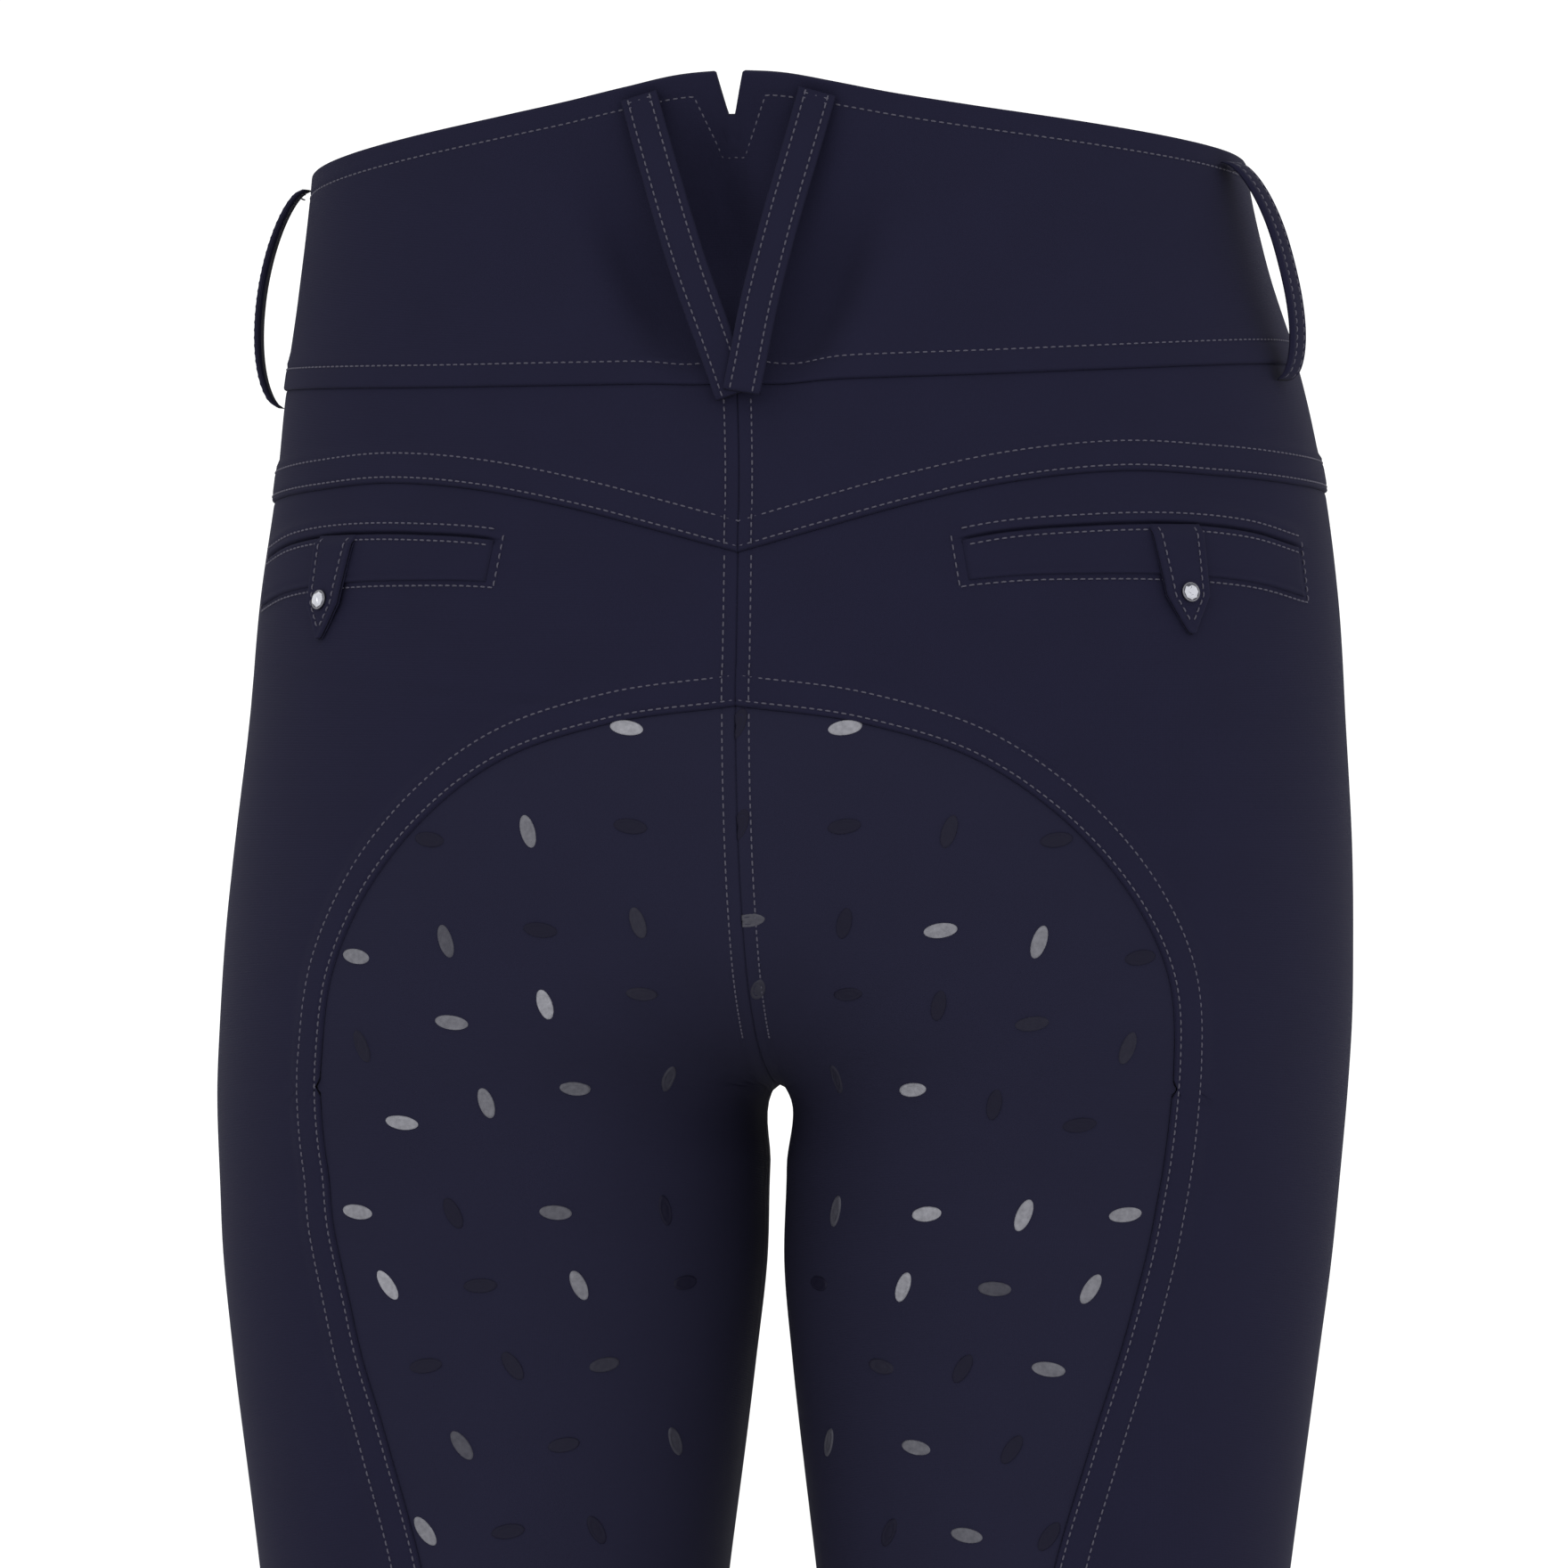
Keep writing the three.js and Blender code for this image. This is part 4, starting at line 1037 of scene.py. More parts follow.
class Panels:
    """Yoke, back, seat patch and front of one half."""

    CENTRE_ROW, HEM_ROW = 4.2, 20.0
    SEAT_POINT = -135.0  # where the seat patches meet at the centre back
    ARCH_END = -205.0  # the side seam's height where the back panel's rows level out
    TOP_SIDE = -112.0  # and where they start to

    def __init__(self, form: Form, cut: Cut, side: Side) -> None:
        self.form, self.cut, self.side = form, cut, side
        self.threads: list[ThreadRow] = []

    def _points(self, line: Array) -> Array:
        return self.form.place(self.side.value, line[:, 0], line[:, 1])

    def _row(self, line: Array, by: float, height: float | Array) -> None:
        moved = beside(self.form, self.side.value, line, by) if by else line
        self.threads.append(row_on(self.form, self.side.value, moved, height))

    def _centre_row(self, z_top: float, z_low: float, fold_z: float | None = None) -> None:
        """A row beside the centre back seam. It rises onto a folded edge at fold_z."""
        z = np.linspace(z_top, z_low, 60)
        line = np.stack([self.form.v_back(np.full_like(z, self.CENTRE_ROW), z), z], -1)
        height = np.full_like(z, Edge.OPENED.thread_height(self.CENTRE_ROW))
        if fold_z is not None:
            lift, reach = Edge.FOLDED.value[:2]
            height = height + lift * (1 - smooth((z - fold_z - reach) / 3.0))
        self._row(line, 0.0, height)

    def _hem_row(self, hem: Array) -> None:
        self._row(hem + [0, self.HEM_ROW], 0.0, Edge.HEMMED.thread_height(self.HEM_ROW))

    def yoke(self) -> Sheet:
        """The yoke between the waistband and the back panel."""
        s, t = marks(255, 4.5), marks(44, 2.5)
        cut = self.cut
        top, low = cut.band_line(s), cut.across(Cut.YOKE, s)
        left = np.stack([np.zeros_like(t), top[0, 1] + (low[0, 1] - top[0, 1]) * t], -1)
        right = cut.side(top[-1, 1] + (low[-1, 1] - top[-1, 1]) * t)
        line = cut.across(Cut.YOKE, np.linspace(0, 1, 160))
        for row in Edge.FOLDED.value[-1]:
            self._row(line, row, Edge.FOLDED.thread_height(row))
        self._centre_row(-39.0, -85.5, -87.0)
        edges = [
            (self._points(cut.band_line(np.linspace(0, 1, 90))), Edge.TUCKED),
            (self._points(line), Edge.FOLDED),
            (self._points(left), Edge.OPENED), (self._points(right), Edge.PLAIN),
        ]
        return Sheet("yoke_" + self.side.word, self.side.value, patch(top, low, left, right, s, t), edges,
                     (0.262, 0.053, 0.0098))

    def _pocket(self, share: Array, z: Array) -> Array:
        """Height of the pocket's lip over its opening, and of the slot under the lip."""
        top = through(share, *np.array(Cut.POCKET_TOP, float).T)
        above = z - top
        ends = smooth((share - Cut.POCKET_FROM[self.side]) / 0.012) * smooth((Cut.POCKET_TO - share) / 0.012)
        rim = np.clip(1 - above / 0.9, 0.0, 1.0)
        lip = 1.15 * (1 - smooth((above - 4.0) / 3.5)) * np.sqrt(np.clip(1 - rim * rim, 0.0, 1.0))
        stitched = 0.3 * dent(above, 2.8, 0.75)
        return ends * np.where(above > 0, lip - stitched - rim**4, -smooth((above + 2.2) / 1.2))

    def back(self) -> Sheet:
        """The outer back panel, from the yoke down beside the seat patch to the hem."""
        form, cut = self.form, self.cut
        s = marks(215, 4.0)
        v_side, rise = cut.side(np.array([self.TOP_SIDE]))[0, 0], self.TOP_SIDE - self.SEAT_POINT
        lowest = np.stack([v_side * s, self.SEAT_POINT + 2 * rise * smooth(s * 0.5)], -1)
        lines = [*(cut.across(table, s) for table in (Cut.YOKE, Cut.POCKET_TOP, Cut.POCKET_LOW)), lowest]
        rows = [lines[0][None]]
        for first, second, length in zip(lines, lines[1:], (15, 16, 16)):
            t = marks(length, 1.6)[1:, None, None]
            rows.append((1 - t) * first + t * second)
        upper = np.concatenate(rows)
        t_arch, t_leg = np.linspace(0, 1, 56), np.linspace(0, 1, 150) ** 1.25
        left = np.concatenate([reading(cut.arch_top, t_arch), reading(cut.arch_low, t_leg)[1:]])
        z = np.concatenate([
            self.TOP_SIDE + (self.ARCH_END - self.TOP_SIDE) * t_arch,
            (self.ARCH_END + (HEM - self.ARCH_END) * t_leg)[1:],
        ])
        right = cut.side(z)
        hem = left[-1] + (right[-1] - left[-1]) * s[:, None]
        t = np.concatenate([0.13 * t_arch, (0.13 + 0.87 * t_leg)[1:]])
        lower = patch(lowest, hem, left, right, s, t)
        places = np.concatenate([upper, lower[1:]])
        whole = cut.side(np.linspace(-69, HEM, 200))
        arch = cut.arch
        centre = np.stack([np.zeros(30), np.linspace(-87, self.SEAT_POINT, 30)], -1)
        for row in Edge.FOLDED.value[-1]:
            self._row(arch, row, Edge.FOLDED.thread_height(row))
        self._centre_row(-88.0, -134.0, self.SEAT_POINT)
        self._hem_row(hem)
        edges = [
            (self._points(cut.across(Cut.YOKE, np.linspace(0, 1, 120))), Edge.TUCKED),
            (self._points(arch), Edge.FOLDED), (self._points(centre), Edge.OPENED),
            (self._points(whole), Edge.PLAIN), (self._points(hem), Edge.HEMMED),
        ]
        share = share_of(places[..., 0]) / share_of(form.v_share(1.0, places[..., 1]))
        extra = self._pocket(share, places[..., 1])
        return Sheet("back_" + self.side.word, self.side.value, places, edges,
                     (0.262, 0.96, 0.138), extra=extra)

    def seat(self) -> Sheet:
        """The seat patch under the arch, down the inside of the leg to the hem."""
        cut = self.cut
        s = marks(130, 3.4)
        top = reading(cut.arch_top, s)
        z_fine = np.linspace(self.SEAT_POINT, CROTCH_Z, 400)
        under = np.stack([np.zeros_like(z_fine), z_fine], -1)
        far = along(self._points(under))
        t_seat = marks(200, 2.4, far=False)
        z_left = np.interp(t_seat * far[-1], far, z_fine)
        t_leg = np.linspace(0, 1, 150) ** 1.3
        z_left = np.concatenate([z_left, (CROTCH_Z + (HEM - CROTCH_Z) * t_leg)[1:]])
        left = np.stack([np.zeros_like(z_left), z_left], -1)
        z_right = np.concatenate([-198 - 66 * t_seat**1.3, (-264 + (HEM + 264) * t_leg)[1:]])
        z_arch = cut.arch_low[:, 1]
        right = np.stack([np.interp(-z_right, -z_arch, cut.arch_low[:, 0]), z_right], -1)
        hem = left[-1] + (right[-1] - left[-1]) * s[:, None]
        t = np.concatenate([0.22 * t_seat, (0.22 + 0.78 * t_leg)[1:]])
        self._centre_row(-137.0, -238.0)
        self._hem_row(hem)
        inner = np.stack([np.zeros(80), np.linspace(CROTCH_Z - 4, HEM, 80)], -1)
        edges = [
            (self._points(cut.arch), Edge.TUCKED), (self._points(under), Edge.OPENED),
            (self._points(inner), Edge.PLAIN), (self._points(hem), Edge.HEMMED),
        ]
        return Sheet("seat_" + self.side.word, self.side.value, patch(top, hem, left, right, s, t), edges,
                     (0.185, 0.9, 0.105))

    def front(self) -> Sheet:
        """The front, plain from the waistband to the hem."""
        form, cut = self.form, self.cut
        s = marks(260, 5.0)
        v_side = form.v_share(1.0, -31.0)
        v = v_side + (1 - v_side) * s
        top = np.stack([v, cut.band_z(v)], -1)
        z_fine = np.linspace(-34.5, CROTCH_Z, 500)
        centre = np.stack([np.ones_like(z_fine), z_fine], -1)
        far = along(self._points(centre))
        t_front = marks(300, 3.4, far=False)
        t_leg = np.linspace(0, 1, 110) ** 1.2
        z_in = np.interp(t_front * far[-1], far, z_fine)
        z_in = np.concatenate([z_in, (CROTCH_Z + (HEM - CROTCH_Z) * t_leg)[1:]])
        z_out = np.concatenate([top[0, 1] + (-268 - top[0, 1]) * t_front, (-268 + (HEM + 268) * t_leg)[1:]])
        left, right = cut.side(z_out), np.stack([np.ones_like(z_in), z_in], -1)
        hem = left[-1] + (right[-1] - left[-1]) * s[:, None]
        t = np.concatenate([0.27 * t_front, (0.27 + 0.73 * t_leg)[1:]])
        self._hem_row(hem)
        inner = np.stack([np.ones(80), np.linspace(CROTCH_Z - 4, HEM, 80)], -1)
        edges = [
            (self._points(top), Edge.TUCKED), (self._points(centre), Edge.PLAIN),
            (self._points(inner), Edge.PLAIN), (self._points(left), Edge.PLAIN),
            (self._points(hem), Edge.HEMMED),
        ]
        return Sheet("front_" + self.side.word, self.side.value, patch(top, hem, left, right, s, t), edges,
                     (0.3, 0.95, 0.2))


def turned(w: Array) -> Array:
    """A place round the waistband as -1 to 1, where the right front laps past the centre."""
    return np.where(w > 1, w - 2, w)


class Waistband:
    """The waistband: one back piece with a notch in its top edge, and two fronts.

    A place on it is w, which runs from 0 at the centre back to 1 at the centre front on the right
    and to -1 on the left, and t from its lower seam to its top edge.
    """

    NOTCH_HALF, NOTCH_DEEP = 4.2, 17.5
    LAP = 0.012
    RAISED = 0.45
    ROW = 7.0
    ROW_DIP, ROW_OUTER, ROW_SLOPE = 19.5, 11.2, 7.8  # how the row turns round the notch
    NOTCH_Z = 60.0

    def __init__(self, form: Form, cut: Cut) -> None:
        self.form, self.cut = form, cut
        self.threads: list[ThreadRow] = []

    def _v_and_x(self, w: Array) -> tuple[Array, Array]:
        """v at the places w, and the distance from the centre at a height near the top edge."""
        v = np.abs(turned(w))
        return v, np.abs(self.form.place(1, v, self.NOTCH_Z)[..., 0])

    def _top(self, w: Array) -> Array:
        v, x = self._v_and_x(w)
        return self.cut.top_z(v) - self.NOTCH_DEEP * np.clip(1 - x / self.NOTCH_HALF, 0.0, 0.78)

    def _lift(self, w: Array, z: Array, height: Array) -> tuple[Array, Array]:
        w = turned(w)
        return self.form.lift(np.where(w < 0, -1.0, 1.0), np.abs(w), z, height)

    def piece(self, name: str, w: Array, wardrobe: Wardrobe) -> None:
        """Makes one piece of the band over the places w."""
        low = self.cut.band_z(np.abs(turned(w)))
        top = self._top(w)
        t = marks(92, 3.5)[:, None]
        z = top + (low - top) * t
        ws = np.broadcast_to(w, z.shape)
        base, out = self._lift(ws, z, 0.0)
        ends = [base[:, 0], base[:, -1]]
        height = np.full(z.shape, self.RAISED)
        for line, kind in [(base[0], Edge.TOP), (base[-1], Edge.BAND)] + [(end, Edge.PLAIN) for end in ends]:
            height = height + kind.height(distance_to(base, line))
        face = base + out * height[..., None]
        back = base + out * np.minimum(self.RAISED - BAND, height - 0.5)[..., None]
        thing = wardrobe.cover(name, face, back, np.stack([run_of_rows(face), face[..., 2]], -1) * MM)
        for z_row, kind in ((low + self.ROW, Edge.BAND), (self._row_under_top(w), Edge.TOP)):
            points, out_row = self._lift(w, z_row, self.RAISED + kind.thread_height(self.ROW))
            self.threads.append(ThreadRow(points, out_row))

    def _row_under_top(self, w: Array) -> Array:
        """Height of the row under the top edge, which runs round the notch at the same distance."""
        v, x = self._v_and_x(w)
        dip = self.ROW_DIP * np.clip((self.ROW_OUTER - x) / self.ROW_SLOPE, 0.0, 1.0)
        return self.cut.top_z(v) - self.ROW - dip

    def build(self, wardrobe: Wardrobe) -> None:
        """Makes the three pieces."""
        form = self.form
        side = float(form.v_share(1.0, 0.0))
        near = np.array([
            0.0, 0.45, 0.93, 1.5, 2.2, 2.9, 3.6, 4.2, 4.9, 5.9, 7.2, 8.6, 10.0, 11.2, 12.6, 14.5,
        ])
        v_near = form.v_back(near, np.full_like(near, self.NOTCH_Z))
        v_near[0] = 0.0
        half = np.concatenate([v_near, v_near[-1] + (side - v_near[-1]) * marks(230, 3.6, near=False)[1:]])
        back = np.concatenate([-half[:0:-1], half])
        self.piece("waistband_back", back, wardrobe)
        shares, cut = marks(230, 4.5), (0.25, 0.07, 0.0165)
        self.piece("waistband_front_right", side + (1 + self.LAP - side) * shares, wardrobe)
        self.piece("waistband_front_left", -side - (1 - self.LAP - side) * shares, wardrobe)


@dataclass
class Strap:
    """A folded strap of cloth with a stitch row near each edge.

    Attributes:
        name: The node that it stands for.
        half: Half its width.
        thick: Its thickness.
        centres: Points along its middle, on the surface that it passes over.
        outs: Their outward directions.
        heights: Height of its underside over each point.
        cut: Width and length of what shows, in metres. Not used.
    """

    name: str
    half: float
    thick: float
    centres: Array
    outs: Array
    heights: Array
    cut: tuple[float, float]

    def build(self, wardrobe: Wardrobe) -> list[ThreadRow]:
        """Makes the strap and returns its stitch rows."""
        way = unit(np.gradient(self.centres, axis=0))
        across = unit(np.cross(way, self.outs))
        share = marks(2 * self.half, 1.2)
        off = (2 * share - 1) * self.half
        inset = self.half - np.abs(off)
        rim = np.clip(1 - inset / 0.8, 0.0, 1.0)
        puffed = 0.18 * np.cos(math.pi / 2 * np.clip(off / (self.half - 1.6), -1, 1))
        pulled = 0.22 * dent(inset, STRAP_ROW, 0.6)
        crown = self.thick - 0.5 * self.thick * rolled(inset, 0.8) + puffed - pulled
        base = self.centres[:, None] + across[:, None] * off[None, :, None]
        up = self.outs[:, None]
        face = base + up * (self.heights[:, None] + crown[None])[..., None]
        back = base + up * (self.heights[:, None] + 0.3 * self.thick * rim[None])[..., None]
        uv = np.stack(np.broadcast_arrays(off[None], along(self.centres)[:, None]), -1) * MM
        thing = wardrobe.cover(self.name, face, back, uv)
        rows = []
        for sign in (-1, 1):
            lifted = self.heights + self.thick - 0.12
            points = self.centres + across * sign * (self.half - STRAP_ROW) + self.outs * lifted[:, None]
            rows.append(ThreadRow(points, self.outs))
        for at in (1.4, 3.0):
            start = self.centres[0] + way[0] * at + self.outs[0] * (self.heights[0] + self.thick - 0.05)
            reach = np.linspace(-1, 1, 8)[:, None] * (self.half - 1.2)
            rows.append(ThreadRow(start + across[0] * reach, np.broadcast_to(self.outs[0], (8, 3))))
        return rows


class Loops:
    """The side belt loops, and the two that cross over the small of the back."""

    SIDE_OFF = {Side.LEFT: 10.6, Side.RIGHT: 12.0}
    SIDE_SHARE = {Side.LEFT: 0.87, Side.RIGHT: 0.79}
    LOW_X = {Side.LEFT: -0.5, Side.RIGHT: 2.2}
    RAISE = {Side.LEFT: 0.0, Side.RIGHT: 2.4}

    def __init__(self, form: Form) -> None:
        self.form = form
        self.threads: list[ThreadRow] = []

    def build(self, wardrobe: Wardrobe) -> None:
        """Makes the four loops."""
        t = np.linspace(0, 1, 60)
        for side in Side:
            z = 33 - 69 * t
            v = self.form.v_share(self.SIDE_SHARE[side], z)
            centres, outs = self.form.place(side.value, v, z), self.form.normal(side.value, v, z)
            heights = 0.95 + self.SIDE_OFF[side] * (4 * t * (1 - t)) ** 0.6
            strap = Strap("loop_side_" + side.word, 5.2, 2.2, centres, outs, heights, (0.0104, 0.078))
            self.threads += strap.build(wardrobe)
            z = 55.5 - 94.5 * t
            x = side.value * 28 * (1 - t) + self.LOW_X[side] * t
            sign = np.where(x < 0, -1.0, 1.0)
            v = self.form.v_back(np.abs(x), z)
            centres, outs = self.form.place(sign, v, z, True), self.form.normal(sign, v, z, True)
            heights = 1.0 + 3.2 * np.sin(math.pi * t) + self.RAISE[side] * smooth((t - 0.5) / 0.3)
            strap = Strap("loop_back_" + side.word, 6.0, 1.8, centres, outs, heights, (0.012, 0.103))
            self.threads += strap.build(wardrobe)


class Pocket:
    """The welt, the pointed tab that hangs over it and the cut stone on the tab."""

    TAB_SHARE = {Side.LEFT: 0.5, Side.RIGHT: 0.484}
    TAB_Z, TAB_LONG, TAB_TUCKED, TAB_LEAN, TAB_ROW = -80.6, 32.8, 0.6, 0.03, 2.7

    def __init__(self, form: Form, side: Side) -> None:
        self.form, self.side = form, side
        self.threads: list[ThreadRow] = []

    def _line(self, table: Table, count: int, grow: float = 0.0, down: float = 0.0) -> Array:
        share = np.linspace(Cut.POCKET_FROM[self.side] - grow, Cut.POCKET_TO + grow, count)
        z = through(share, *np.array(table, float).T) + down
        return np.stack([self.form.v_share(share, z), z], -1)

    def _sheet(
        self, name: str, places: Array, low: Array, high: Array, wardrobe: Wardrobe,
    ) -> None:
        face, _ = self.form.lift(self.side.value, places[..., 0], places[..., 1], high)
        back = self.form.lift(self.side.value, places[..., 0], places[..., 1], low)[0]
        thing = wardrobe.cover(name, face, back, np.stack([run_of_rows(face), face[..., 2]], -1) * MM)

    def welt(self, wardrobe: Wardrobe) -> None:
        """The stitched welt under the pocket's opening."""
        top, low = self._line(Cut.POCKET_TOP, 90, down=-0.6), self._line(Cut.POCKET_LOW, 90)
        t = marks(15, 1.6)[:, None, None]
        places = (1 - t) * top + t * low
        face = self.form.place(self.side.value, places[..., 0], places[..., 1])
        off = distance_to(face, border(face))
        high = 0.95 - 0.75 * rolled(off, 0.8) - 0.25 * dent(off, 1.9)
        low_h = np.full(off.shape, 0.05)
        self._sheet("pocket_welt_" + self.side.word, places, low_h, high, wardrobe)
        side = self.side.value
        self.threads.append(row_on(self.form, side, self._line(Cut.POCKET_TOP, 90, down=2.8), 0.85))
        self.threads.append(row_on(self.form, side, self._line(Cut.POCKET_TOP, 90, -0.006, -2.4), 0.7))
        self.threads.append(row_on(self.form, side, self._line(Cut.POCKET_LOW, 90, 0.012, -1.6), 0.02))
        for end in (0, -1):
            start = self._line(Cut.POCKET_TOP, 5, 0.012, 2.0)[end]
            finish = self._line(Cut.POCKET_LOW, 5, 0.012, -1.6)[end]
            ends = start + (finish - start) * np.linspace(0, 1, 12)[:, None]
            self.threads.append(row_on(self.form, side, ends, 0.1))

    def _tab_places(self, down: Array, across: Array) -> Array:
        """Places over the tab from its distance down and across, both in millimetres."""
        z = self.TAB_Z - down
        v = self.form.v_share(self.TAB_SHARE[self.side], z)
        by_v = self.form.steps(self.side.value, v, z)[0]
        return np.stack([v + across / np.linalg.norm(by_v, axis=-1), z], -1)

    def tab(self, wardrobe: Wardrobe) -> None:
        """The pointed tab, edge-stitched, which comes out of the pocket's opening."""
        down = np.concatenate([
            [-self.TAB_TUCKED], np.linspace(0, 20.5, 24), np.linspace(21.3, 31.9, 16),
            [32.2, 32.5, 32.7, self.TAB_LONG],
        ])
        taper = 1 - 0.8 * np.clip((down - 21.5) / 10.6, 0, 1)
        blunt = np.sqrt(np.clip(1 - np.clip((down - 31.9) / 0.9, 0, 0.995) ** 2, 0, 1))
        half = (9.2 - 1.6 * np.clip(down, 0, 21.5) / 21.5) * taper * blunt
        share = marks(18, 1.3)
        across = (2 * share - 1)[None] * half[:, None] + self.TAB_LEAN * down[:, None]
        rows = np.broadcast_to(down[:, None], across.shape)
        places = self._tab_places(rows, across)
        inset = half[:, None] * (1 - np.abs(2 * share - 1))[None]
        off = np.minimum(np.minimum(inset, rows + self.TAB_TUCKED), self.TAB_LONG - rows)
        rise = smooth((rows + self.TAB_TUCKED) / 3.4)
        low = -0.75 + 2.0 * rise - 0.75 * smooth((rows - 20) / 10)
        high = low + 1.7 - 0.8 * rolled(inset, 0.8) - 0.25 * dent(off, self.TAB_ROW)
        self._sheet("pocket_tab_" + self.side.word, places, low, high, wardrobe)
        pull = np.clip(half - self.TAB_ROW, 0.25, None)
        keep = down < 29.6
        for sign in (-1, 1):
            line = self._tab_places(down[keep], sign * pull[keep] + self.TAB_LEAN * down[keep])
            heights = (low + 1.7)[keep, 0] - 0.12
            points, out = self.form.lift(self.side.value, line[:, 0], line[:, 1], heights)
            self.threads.append(ThreadRow(points[1:], out[1:]))

    def stud(self, wardrobe: Wardrobe) -> None:
        """A cut stone in a low metal setting."""
        down = np.array([20.6])
        place = self._tab_places(down, self.TAB_LEAN * down)
        foot, out = self.form.lift(self.side.value, place[:, 0], place[:, 1], np.array([2.75]))
        cup = ((0.0, 2.9), (0.7, 3.15), (1.25, 3.05), (1.3, 2.6), (0.8, 2.45))
        stone = ((0.75, 2.55), (1.25, 2.55), (1.95, 1.95), (2.4, 1.25), (2.45, 0.02))
        setting = turned_object("stud_setting_" + self.side.word, foot[0], out[0], cup, 32)
        wardrobe.dress(setting, wardrobe.setting)
        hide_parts("stud_" + self.side.word)
        glass = turned_object("stud_stone_" + self.side.word, foot[0], out[0], stone, 8, cut=True)
        wardrobe.dress(glass, wardrobe.stone)


class GripPrint:
    """Raised oval grips on the seat patches, in staggered rows.

    Rows are a fixed step apart down the patch. In each row the ovals are a fixed step apart and
    lie upright and flat by turns, and each row starts a share of a step further out.
    """

    LONG, WIDE = 5.25, 2.3
    # z on the centre line, x of the first oval, step in x, fall of the row towards the side over
    # 120 mm, and whether the first oval stands upright.
    ROW_NAMES = ("z", "first", "step", "fall", "upright")
    ROWS = (
        (-140.5, 1, 33, 15, 1), (-171.5, 1, 32.2, 7, 1), (-201, 2, 30, 11, 0), (-222.5, 3, 29, 18, 1),
        (-250, 26, 26.5, 18, 1), (-292, 27, 31, 0, 1), (-315, 21, 29.7, 0, 0), (-340, 43.5, 27, 0, 0),
        (-365, 24.3, 31, 0, 1), (-392, 20, 26, 0, 0),
    )
    LOWER_STEP = 27.0
    LOWER_FIRST = (14.0, 24.0, 9.0, 19.0)  # distance from the inner leg seam, row by row by turns
    RINGS = ((0.0, 0.36), (0.42, 0.36), (0.56, 0.27), (0.7, 0.4), (0.86, 0.46), (0.96, 0.3), (1.04, -0.25))
    SEGMENTS = 28

    def __init__(self, form: Form, cut: Cut, side: Side) -> None:
        self.form, self.cut, self.side = form, cut, side

    def _spots(self) -> tuple[Array, Array, Array]:
        """x, z and whether it stands upright, for every oval that fits inside the patch."""
        rows = [dict(zip(self.ROW_NAMES, row)) for row in self.ROWS]
        last = rows[-1]["z"]
        for k in range(1, 20):
            z = last - self.LOWER_STEP * k
            first = float(self.form.level("inner", z)) + self.LOWER_FIRST[k % 4]
            rows.append({"z": z, "first": first, "step": 28.0, "fall": 0, "upright": k % 2})
        found = []
        for row in rows:
            for k in range(5):
                x = row["first"] + k * row["step"]
                found.append((x, row["z"] - row["fall"] * (x / 120) ** 2, (row["upright"] + k) % 2))
        x, z, upright = np.array(found).T
        edge_x, edge_z = np.array(Cut.ARCH, float).T
        inside = (z > HEM + 26) & (x < np.interp(-z, -edge_z, edge_x) - 0.5)
        inside &= z < np.where(z > -198, np.interp(x, edge_x[:5], edge_z[:5]), 1e3)
        inside &= x > self.form.level("inner", z) + 8
        inside &= (x > 6) | (self.side is Side.RIGHT)
        return x[inside], z[inside], upright[inside]

    def build(self, wardrobe: Wardrobe) -> None:
        """Makes the print as one object."""
        x, z, upright = self._spots()
        v = self.form.v_back(np.maximum(x, 0.05), z)
        by_v, by_z = self.form.steps(self.side.value, v, z)
        right = unit(by_v) * self.side.value
        out = self.form.normal(self.side.value, v, z)
        up = unit(np.cross(out, right) * np.sign(np.cross(out, right)[:, 2:]))
        steep = 72.0 - 17.0 * smooth((-250.0 - z) / 100.0)
        level = 8.0 - 16.0 * smooth((-280.0 - z) / 60.0)
        lean = np.radians(np.where(upright > 0.5, steep, level)) * self.side.value
        first = right * np.cos(lean)[:, None] + up * np.sin(lean)[:, None]
        second = unit(np.cross(out, first))
        turn = 2 * math.pi * np.arange(self.SEGMENTS)[:, None] / self.SEGMENTS
        rings = np.array(self.RINGS)
        oval = first[:, None, None] * np.cos(turn) * self.LONG
        oval = oval + second[:, None, None] * np.sin(turn) * self.WIDE
        move = oval * rings[None, :, 0, None, None]
        shape = move.shape[:3]
        vs, zs = (np.broadcast_to(part[:, None, None], shape).copy() for part in (v, z))
        vs, zs = self.form.slide(float(self.side.value), vs, zs, move)
        points, _ = self.form.lift(self.side.value, vs, zs, np.broadcast_to(rings[None, :, 1, None], shape))
        thing = mesh_object("grip_print_" + self.side.word, points.reshape(-1, 3), ring_faces(shape))
        # Random gloss for each oval; the grip finish also turns it into a painted highlight in the oval's
        # base colour.
        gloss_and_painted_glint = np.random.default_rng(11 + self.side.value).random(len(x)) ** 4.5
        layer = thing.data.attributes.new("gloss_and_painted_glint", "FLOAT", "POINT")
        layer.data.foreach_set("value", np.repeat(gloss_and_painted_glint, shape[1] * shape[2]).astype(np.float32))
        wardrobe.dress(thing, wardrobe.grip)


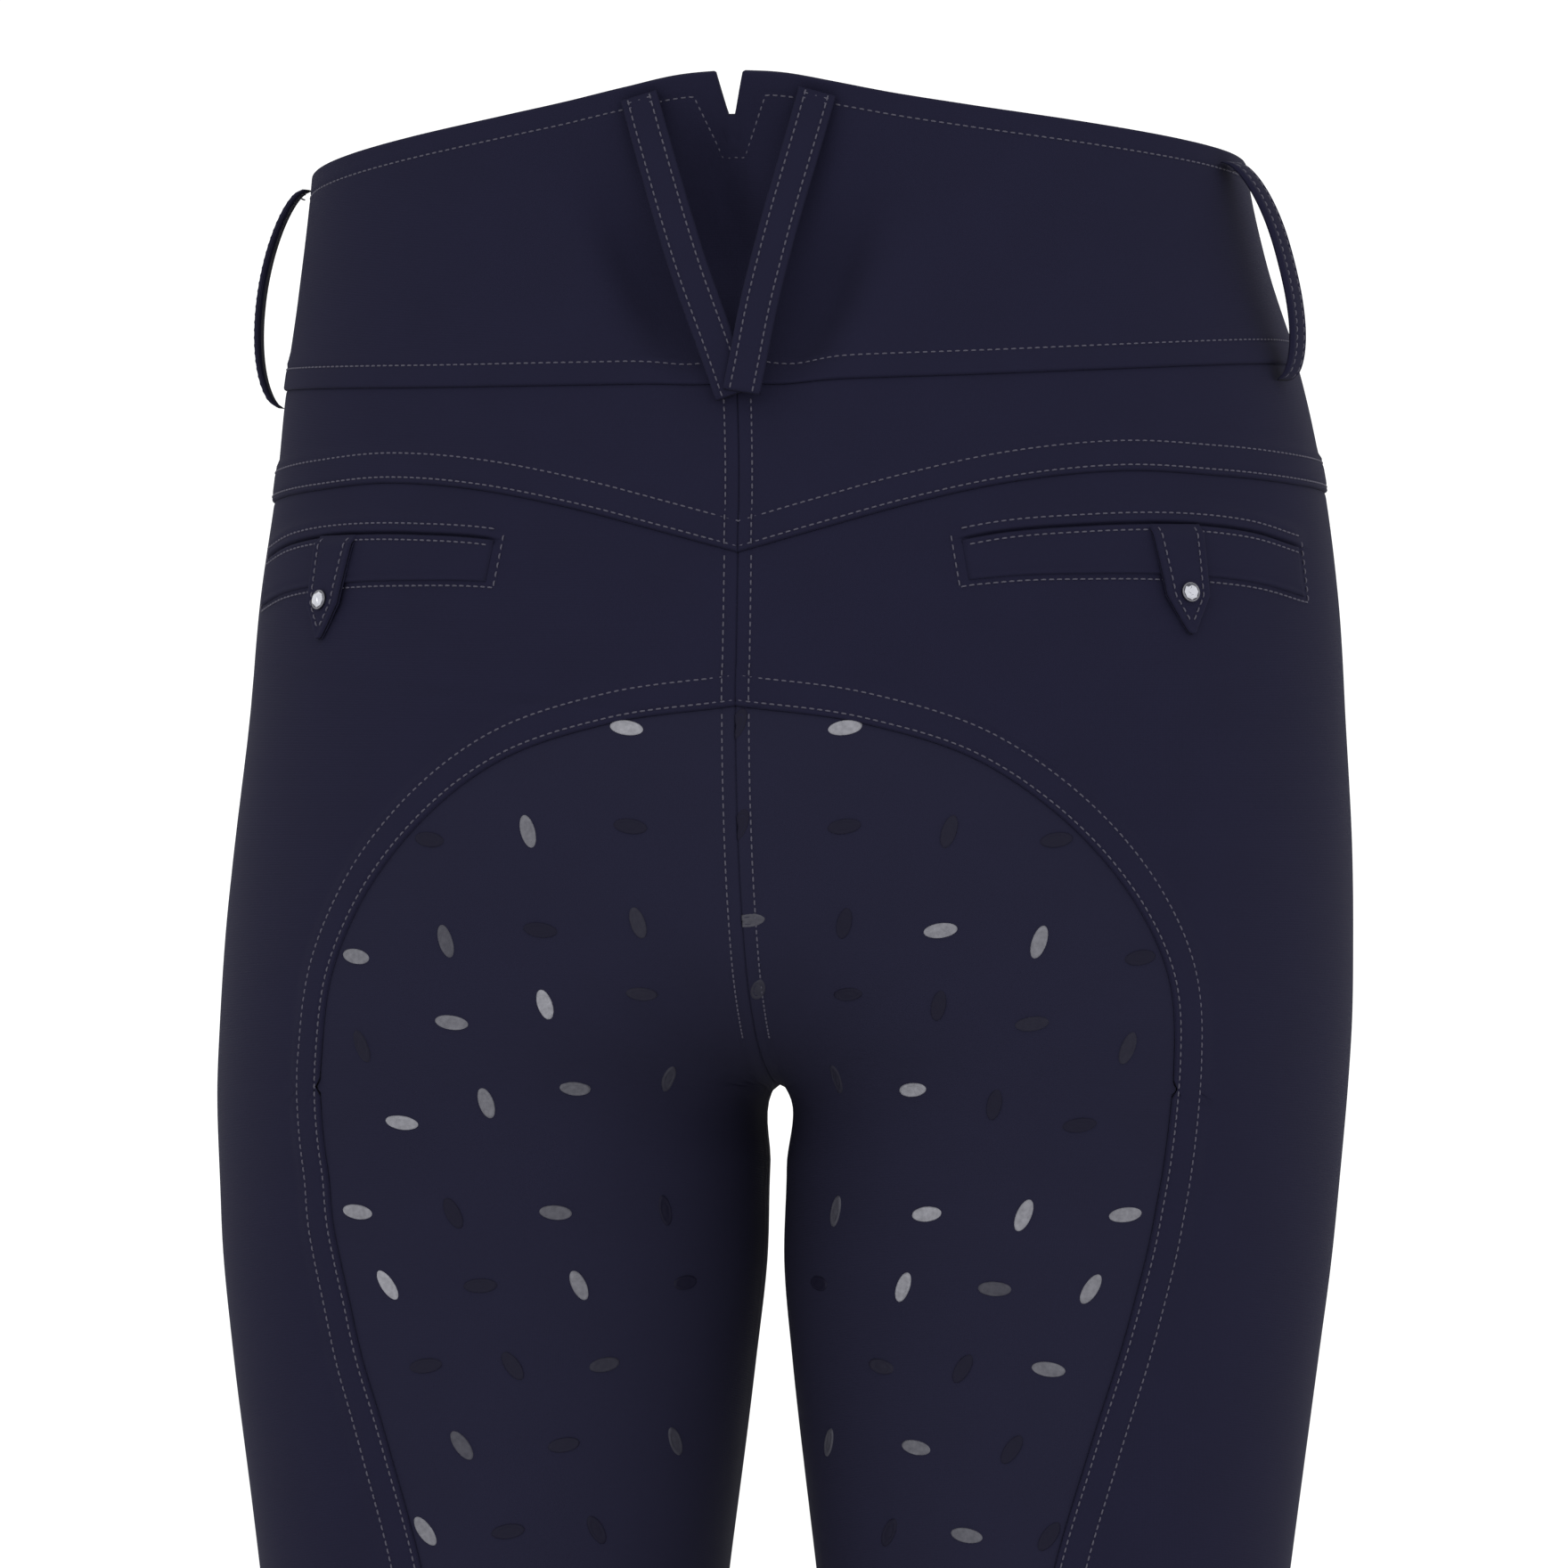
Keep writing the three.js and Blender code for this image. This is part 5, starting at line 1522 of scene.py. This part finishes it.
class FrontClosure:
    """The plain fly and its waist button."""

    LEFT, RIGHT, TOP, LOW = -5.0, 30.0, -38.0, -150.0

    def __init__(self, form: Form) -> None:
        self.form = form
        self.threads: list[ThreadRow] = []

    def build(self, wardrobe: Wardrobe) -> None:
        """Makes the fly flap and the button."""
        s, t = marks(34, 2.6), marks(112, 4.0)
        z = self.TOP + (self.LOW - self.TOP) * t
        bend = np.clip((t - 0.58) / 0.42, 0, 1)
        right = self.RIGHT - (self.RIGHT - 4) * (1 - np.sqrt(1 - bend * bend * 0.999))
        x = self.LEFT + (right - self.LEFT)[:, None] * s[None]
        zs = np.broadcast_to(z[:, None], x.shape)
        side = np.where(x < 0, -1.0, 1.0)
        v = self.form.v_front(np.abs(x), zs)
        base = self.form.place(side, v, zs)
        off = distance_to(base, border(base))
        height = 1.5 - 0.8 * rolled(off, 0.8) - 0.25 * dent(off, 2.2)
        out = self.form.normal(side, v, zs)
        face, uv = base + out * height[..., None], np.stack([x, zs], -1) * MM
        thing = wardrobe.cover("fly", face, base + out * 0.35, uv)
        edge = np.clip(right - 2.4, 1.0, None)
        v_edge = self.form.v_front(edge, z)
        points = self.form.place(1.0, v_edge, z) + self.form.normal(1.0, v_edge, z) * 1.25
        self.threads.append(ThreadRow(points, self.form.normal(1.0, v_edge, z)))
        self._button(wardrobe)

    def _button(self, wardrobe: Wardrobe) -> None:
        foot = self.form.place(1.0, 1.0, 0.0)
        axis = self.form.normal(1.0, 1.0, 0.0)
        rings = ((0.7, 6.9), (1.2, 7.5), (2.4, 7.5), (3.1, 7.0), (3.2, 6.2), (2.6, 5.4), (2.5, 0.02))
        thing = turned_object("waist_button_turned", foot, axis, rings, 48)
        wardrobe.dress(thing, wardrobe.button)
        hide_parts("waist_button")


@dataclass(frozen=True)
class Studio:
    """A pale floor, soft light and the camera, behind the garment."""

    turn_degrees: float = 9.5
    distance: float = 4000.0
    view_width: float = 498.0
    aim_right: float = 2.3
    aim_z: float = -159.0

    def build(self) -> None:
        """Adds the floor, the lights, the sky and the camera."""
        scene = bpy.context.scene
        scene.view_settings.view_transform = "Standard"
        scene.view_settings.look = "None"
        half = 14000.0
        corners = [[x, y, HEM - 1] for x, y in ((-half, -half), (half, -half), (half, half), (-half, half))]
        floor = mesh_object("studio_floor", np.array(corners), np.array([[0, 1, 2, 3]]))
        pale = SpeckledFinish("pale_floor", (0.93, 0.93, 0.93), 0.9, grain_mm=900, uneven=0.01, bump=0.0)
        floor.data.materials.append(pale.material())
        world = bpy.data.worlds.new("studio_sky")
        world.use_nodes = True
        world.node_tree.nodes["Background"].inputs["Color"].default_value = (1.0, 1.0, 1.0, 1.0)
        world.node_tree.nodes["Background"].inputs["Strength"].default_value = 1.15
        scene.world = world
        for name, place, size, power_ in (
            ("key", (-1.2, -3.4, 1.6), 1.6, 8.0), ("fill", (1.8, -3.0, 0.9), 1.2, 10.0),
            ("rear", (0.5, 3.0, 1.8), 2.2, 3.0),
        ):
            light = bpy.data.lights.new(name, "AREA")
            light.size, light.energy = size, power_
            lamp = bpy.data.objects.new(name, light)
            lamp.location = place
            lamp.rotation_euler = aimed(np.array(place), np.array([0.0, 0.0, -0.25]))
            scene.collection.objects.link(lamp)
        turn = math.radians(self.turn_degrees)
        right = np.array([math.cos(turn), math.sin(turn), 0.0])
        ahead = np.array([-math.sin(turn), math.cos(turn), 0.0])
        target = right * self.aim_right + np.array([0.0, 0.0, self.aim_z])
        lens = bpy.data.cameras.new("photo_camera")
        lens.sensor_width = 36.0
        lens.lens = 36.0 * self.distance / self.view_width
        camera = bpy.data.objects.new("photo_camera", lens)
        camera.location = (target - ahead * self.distance) * MM
        camera.rotation_euler = (math.pi / 2, 0.0, turn)
        scene.collection.objects.link(camera)
        scene.camera = camera


def aimed(place: Array, target: Array) -> tuple[float, float, float]:
    """Turn of a light at a place that points it at a target."""
    way = unit(target - place)
    return (math.acos(-way[2]), 0.0, math.atan2(-way[0], way[1]))


def main() -> None:
    """Builds every piece over the frame."""
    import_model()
    form, wardrobe = Form(), Wardrobe()
    cut = Cut(form)
    waistband, loops, closure = Waistband(form, cut), Loops(form), FrontClosure(form)
    waistband.build(wardrobe)
    loops.build(wardrobe)
    closure.build(wardrobe)
    sewn = {"waist": waistband.threads, "loops": loops.threads, "fly": closure.threads}
    for side in Side:
        panels = Panels(form, cut, side)
        for sheet in (panels.yoke(), panels.back(), panels.front()):
            sheet.build(form, wardrobe, wardrobe.cloth, Slot.CLOTH)
        panels.seat().build(form, wardrobe, wardrobe.seat, Slot.SEAT)
        pocket = Pocket(form, side)
        pocket.welt(wardrobe)
        pocket.tab(wardrobe)
        pocket.stud(wardrobe)
        GripPrint(form, cut, side).build(wardrobe)
        sewn["panels_" + side.word] = panels.threads
        sewn["pocket_" + side.word] = pocket.threads
    for name, rows in sewn.items():
        stitches = Thread().mesh("stitching_" + name, rows)
        wardrobe.dress(stitches, wardrobe.thread)
    Studio().build()


if __name__ == "__main__":
    logging.basicConfig(level=logging.INFO, format="%(message)s")
    main()
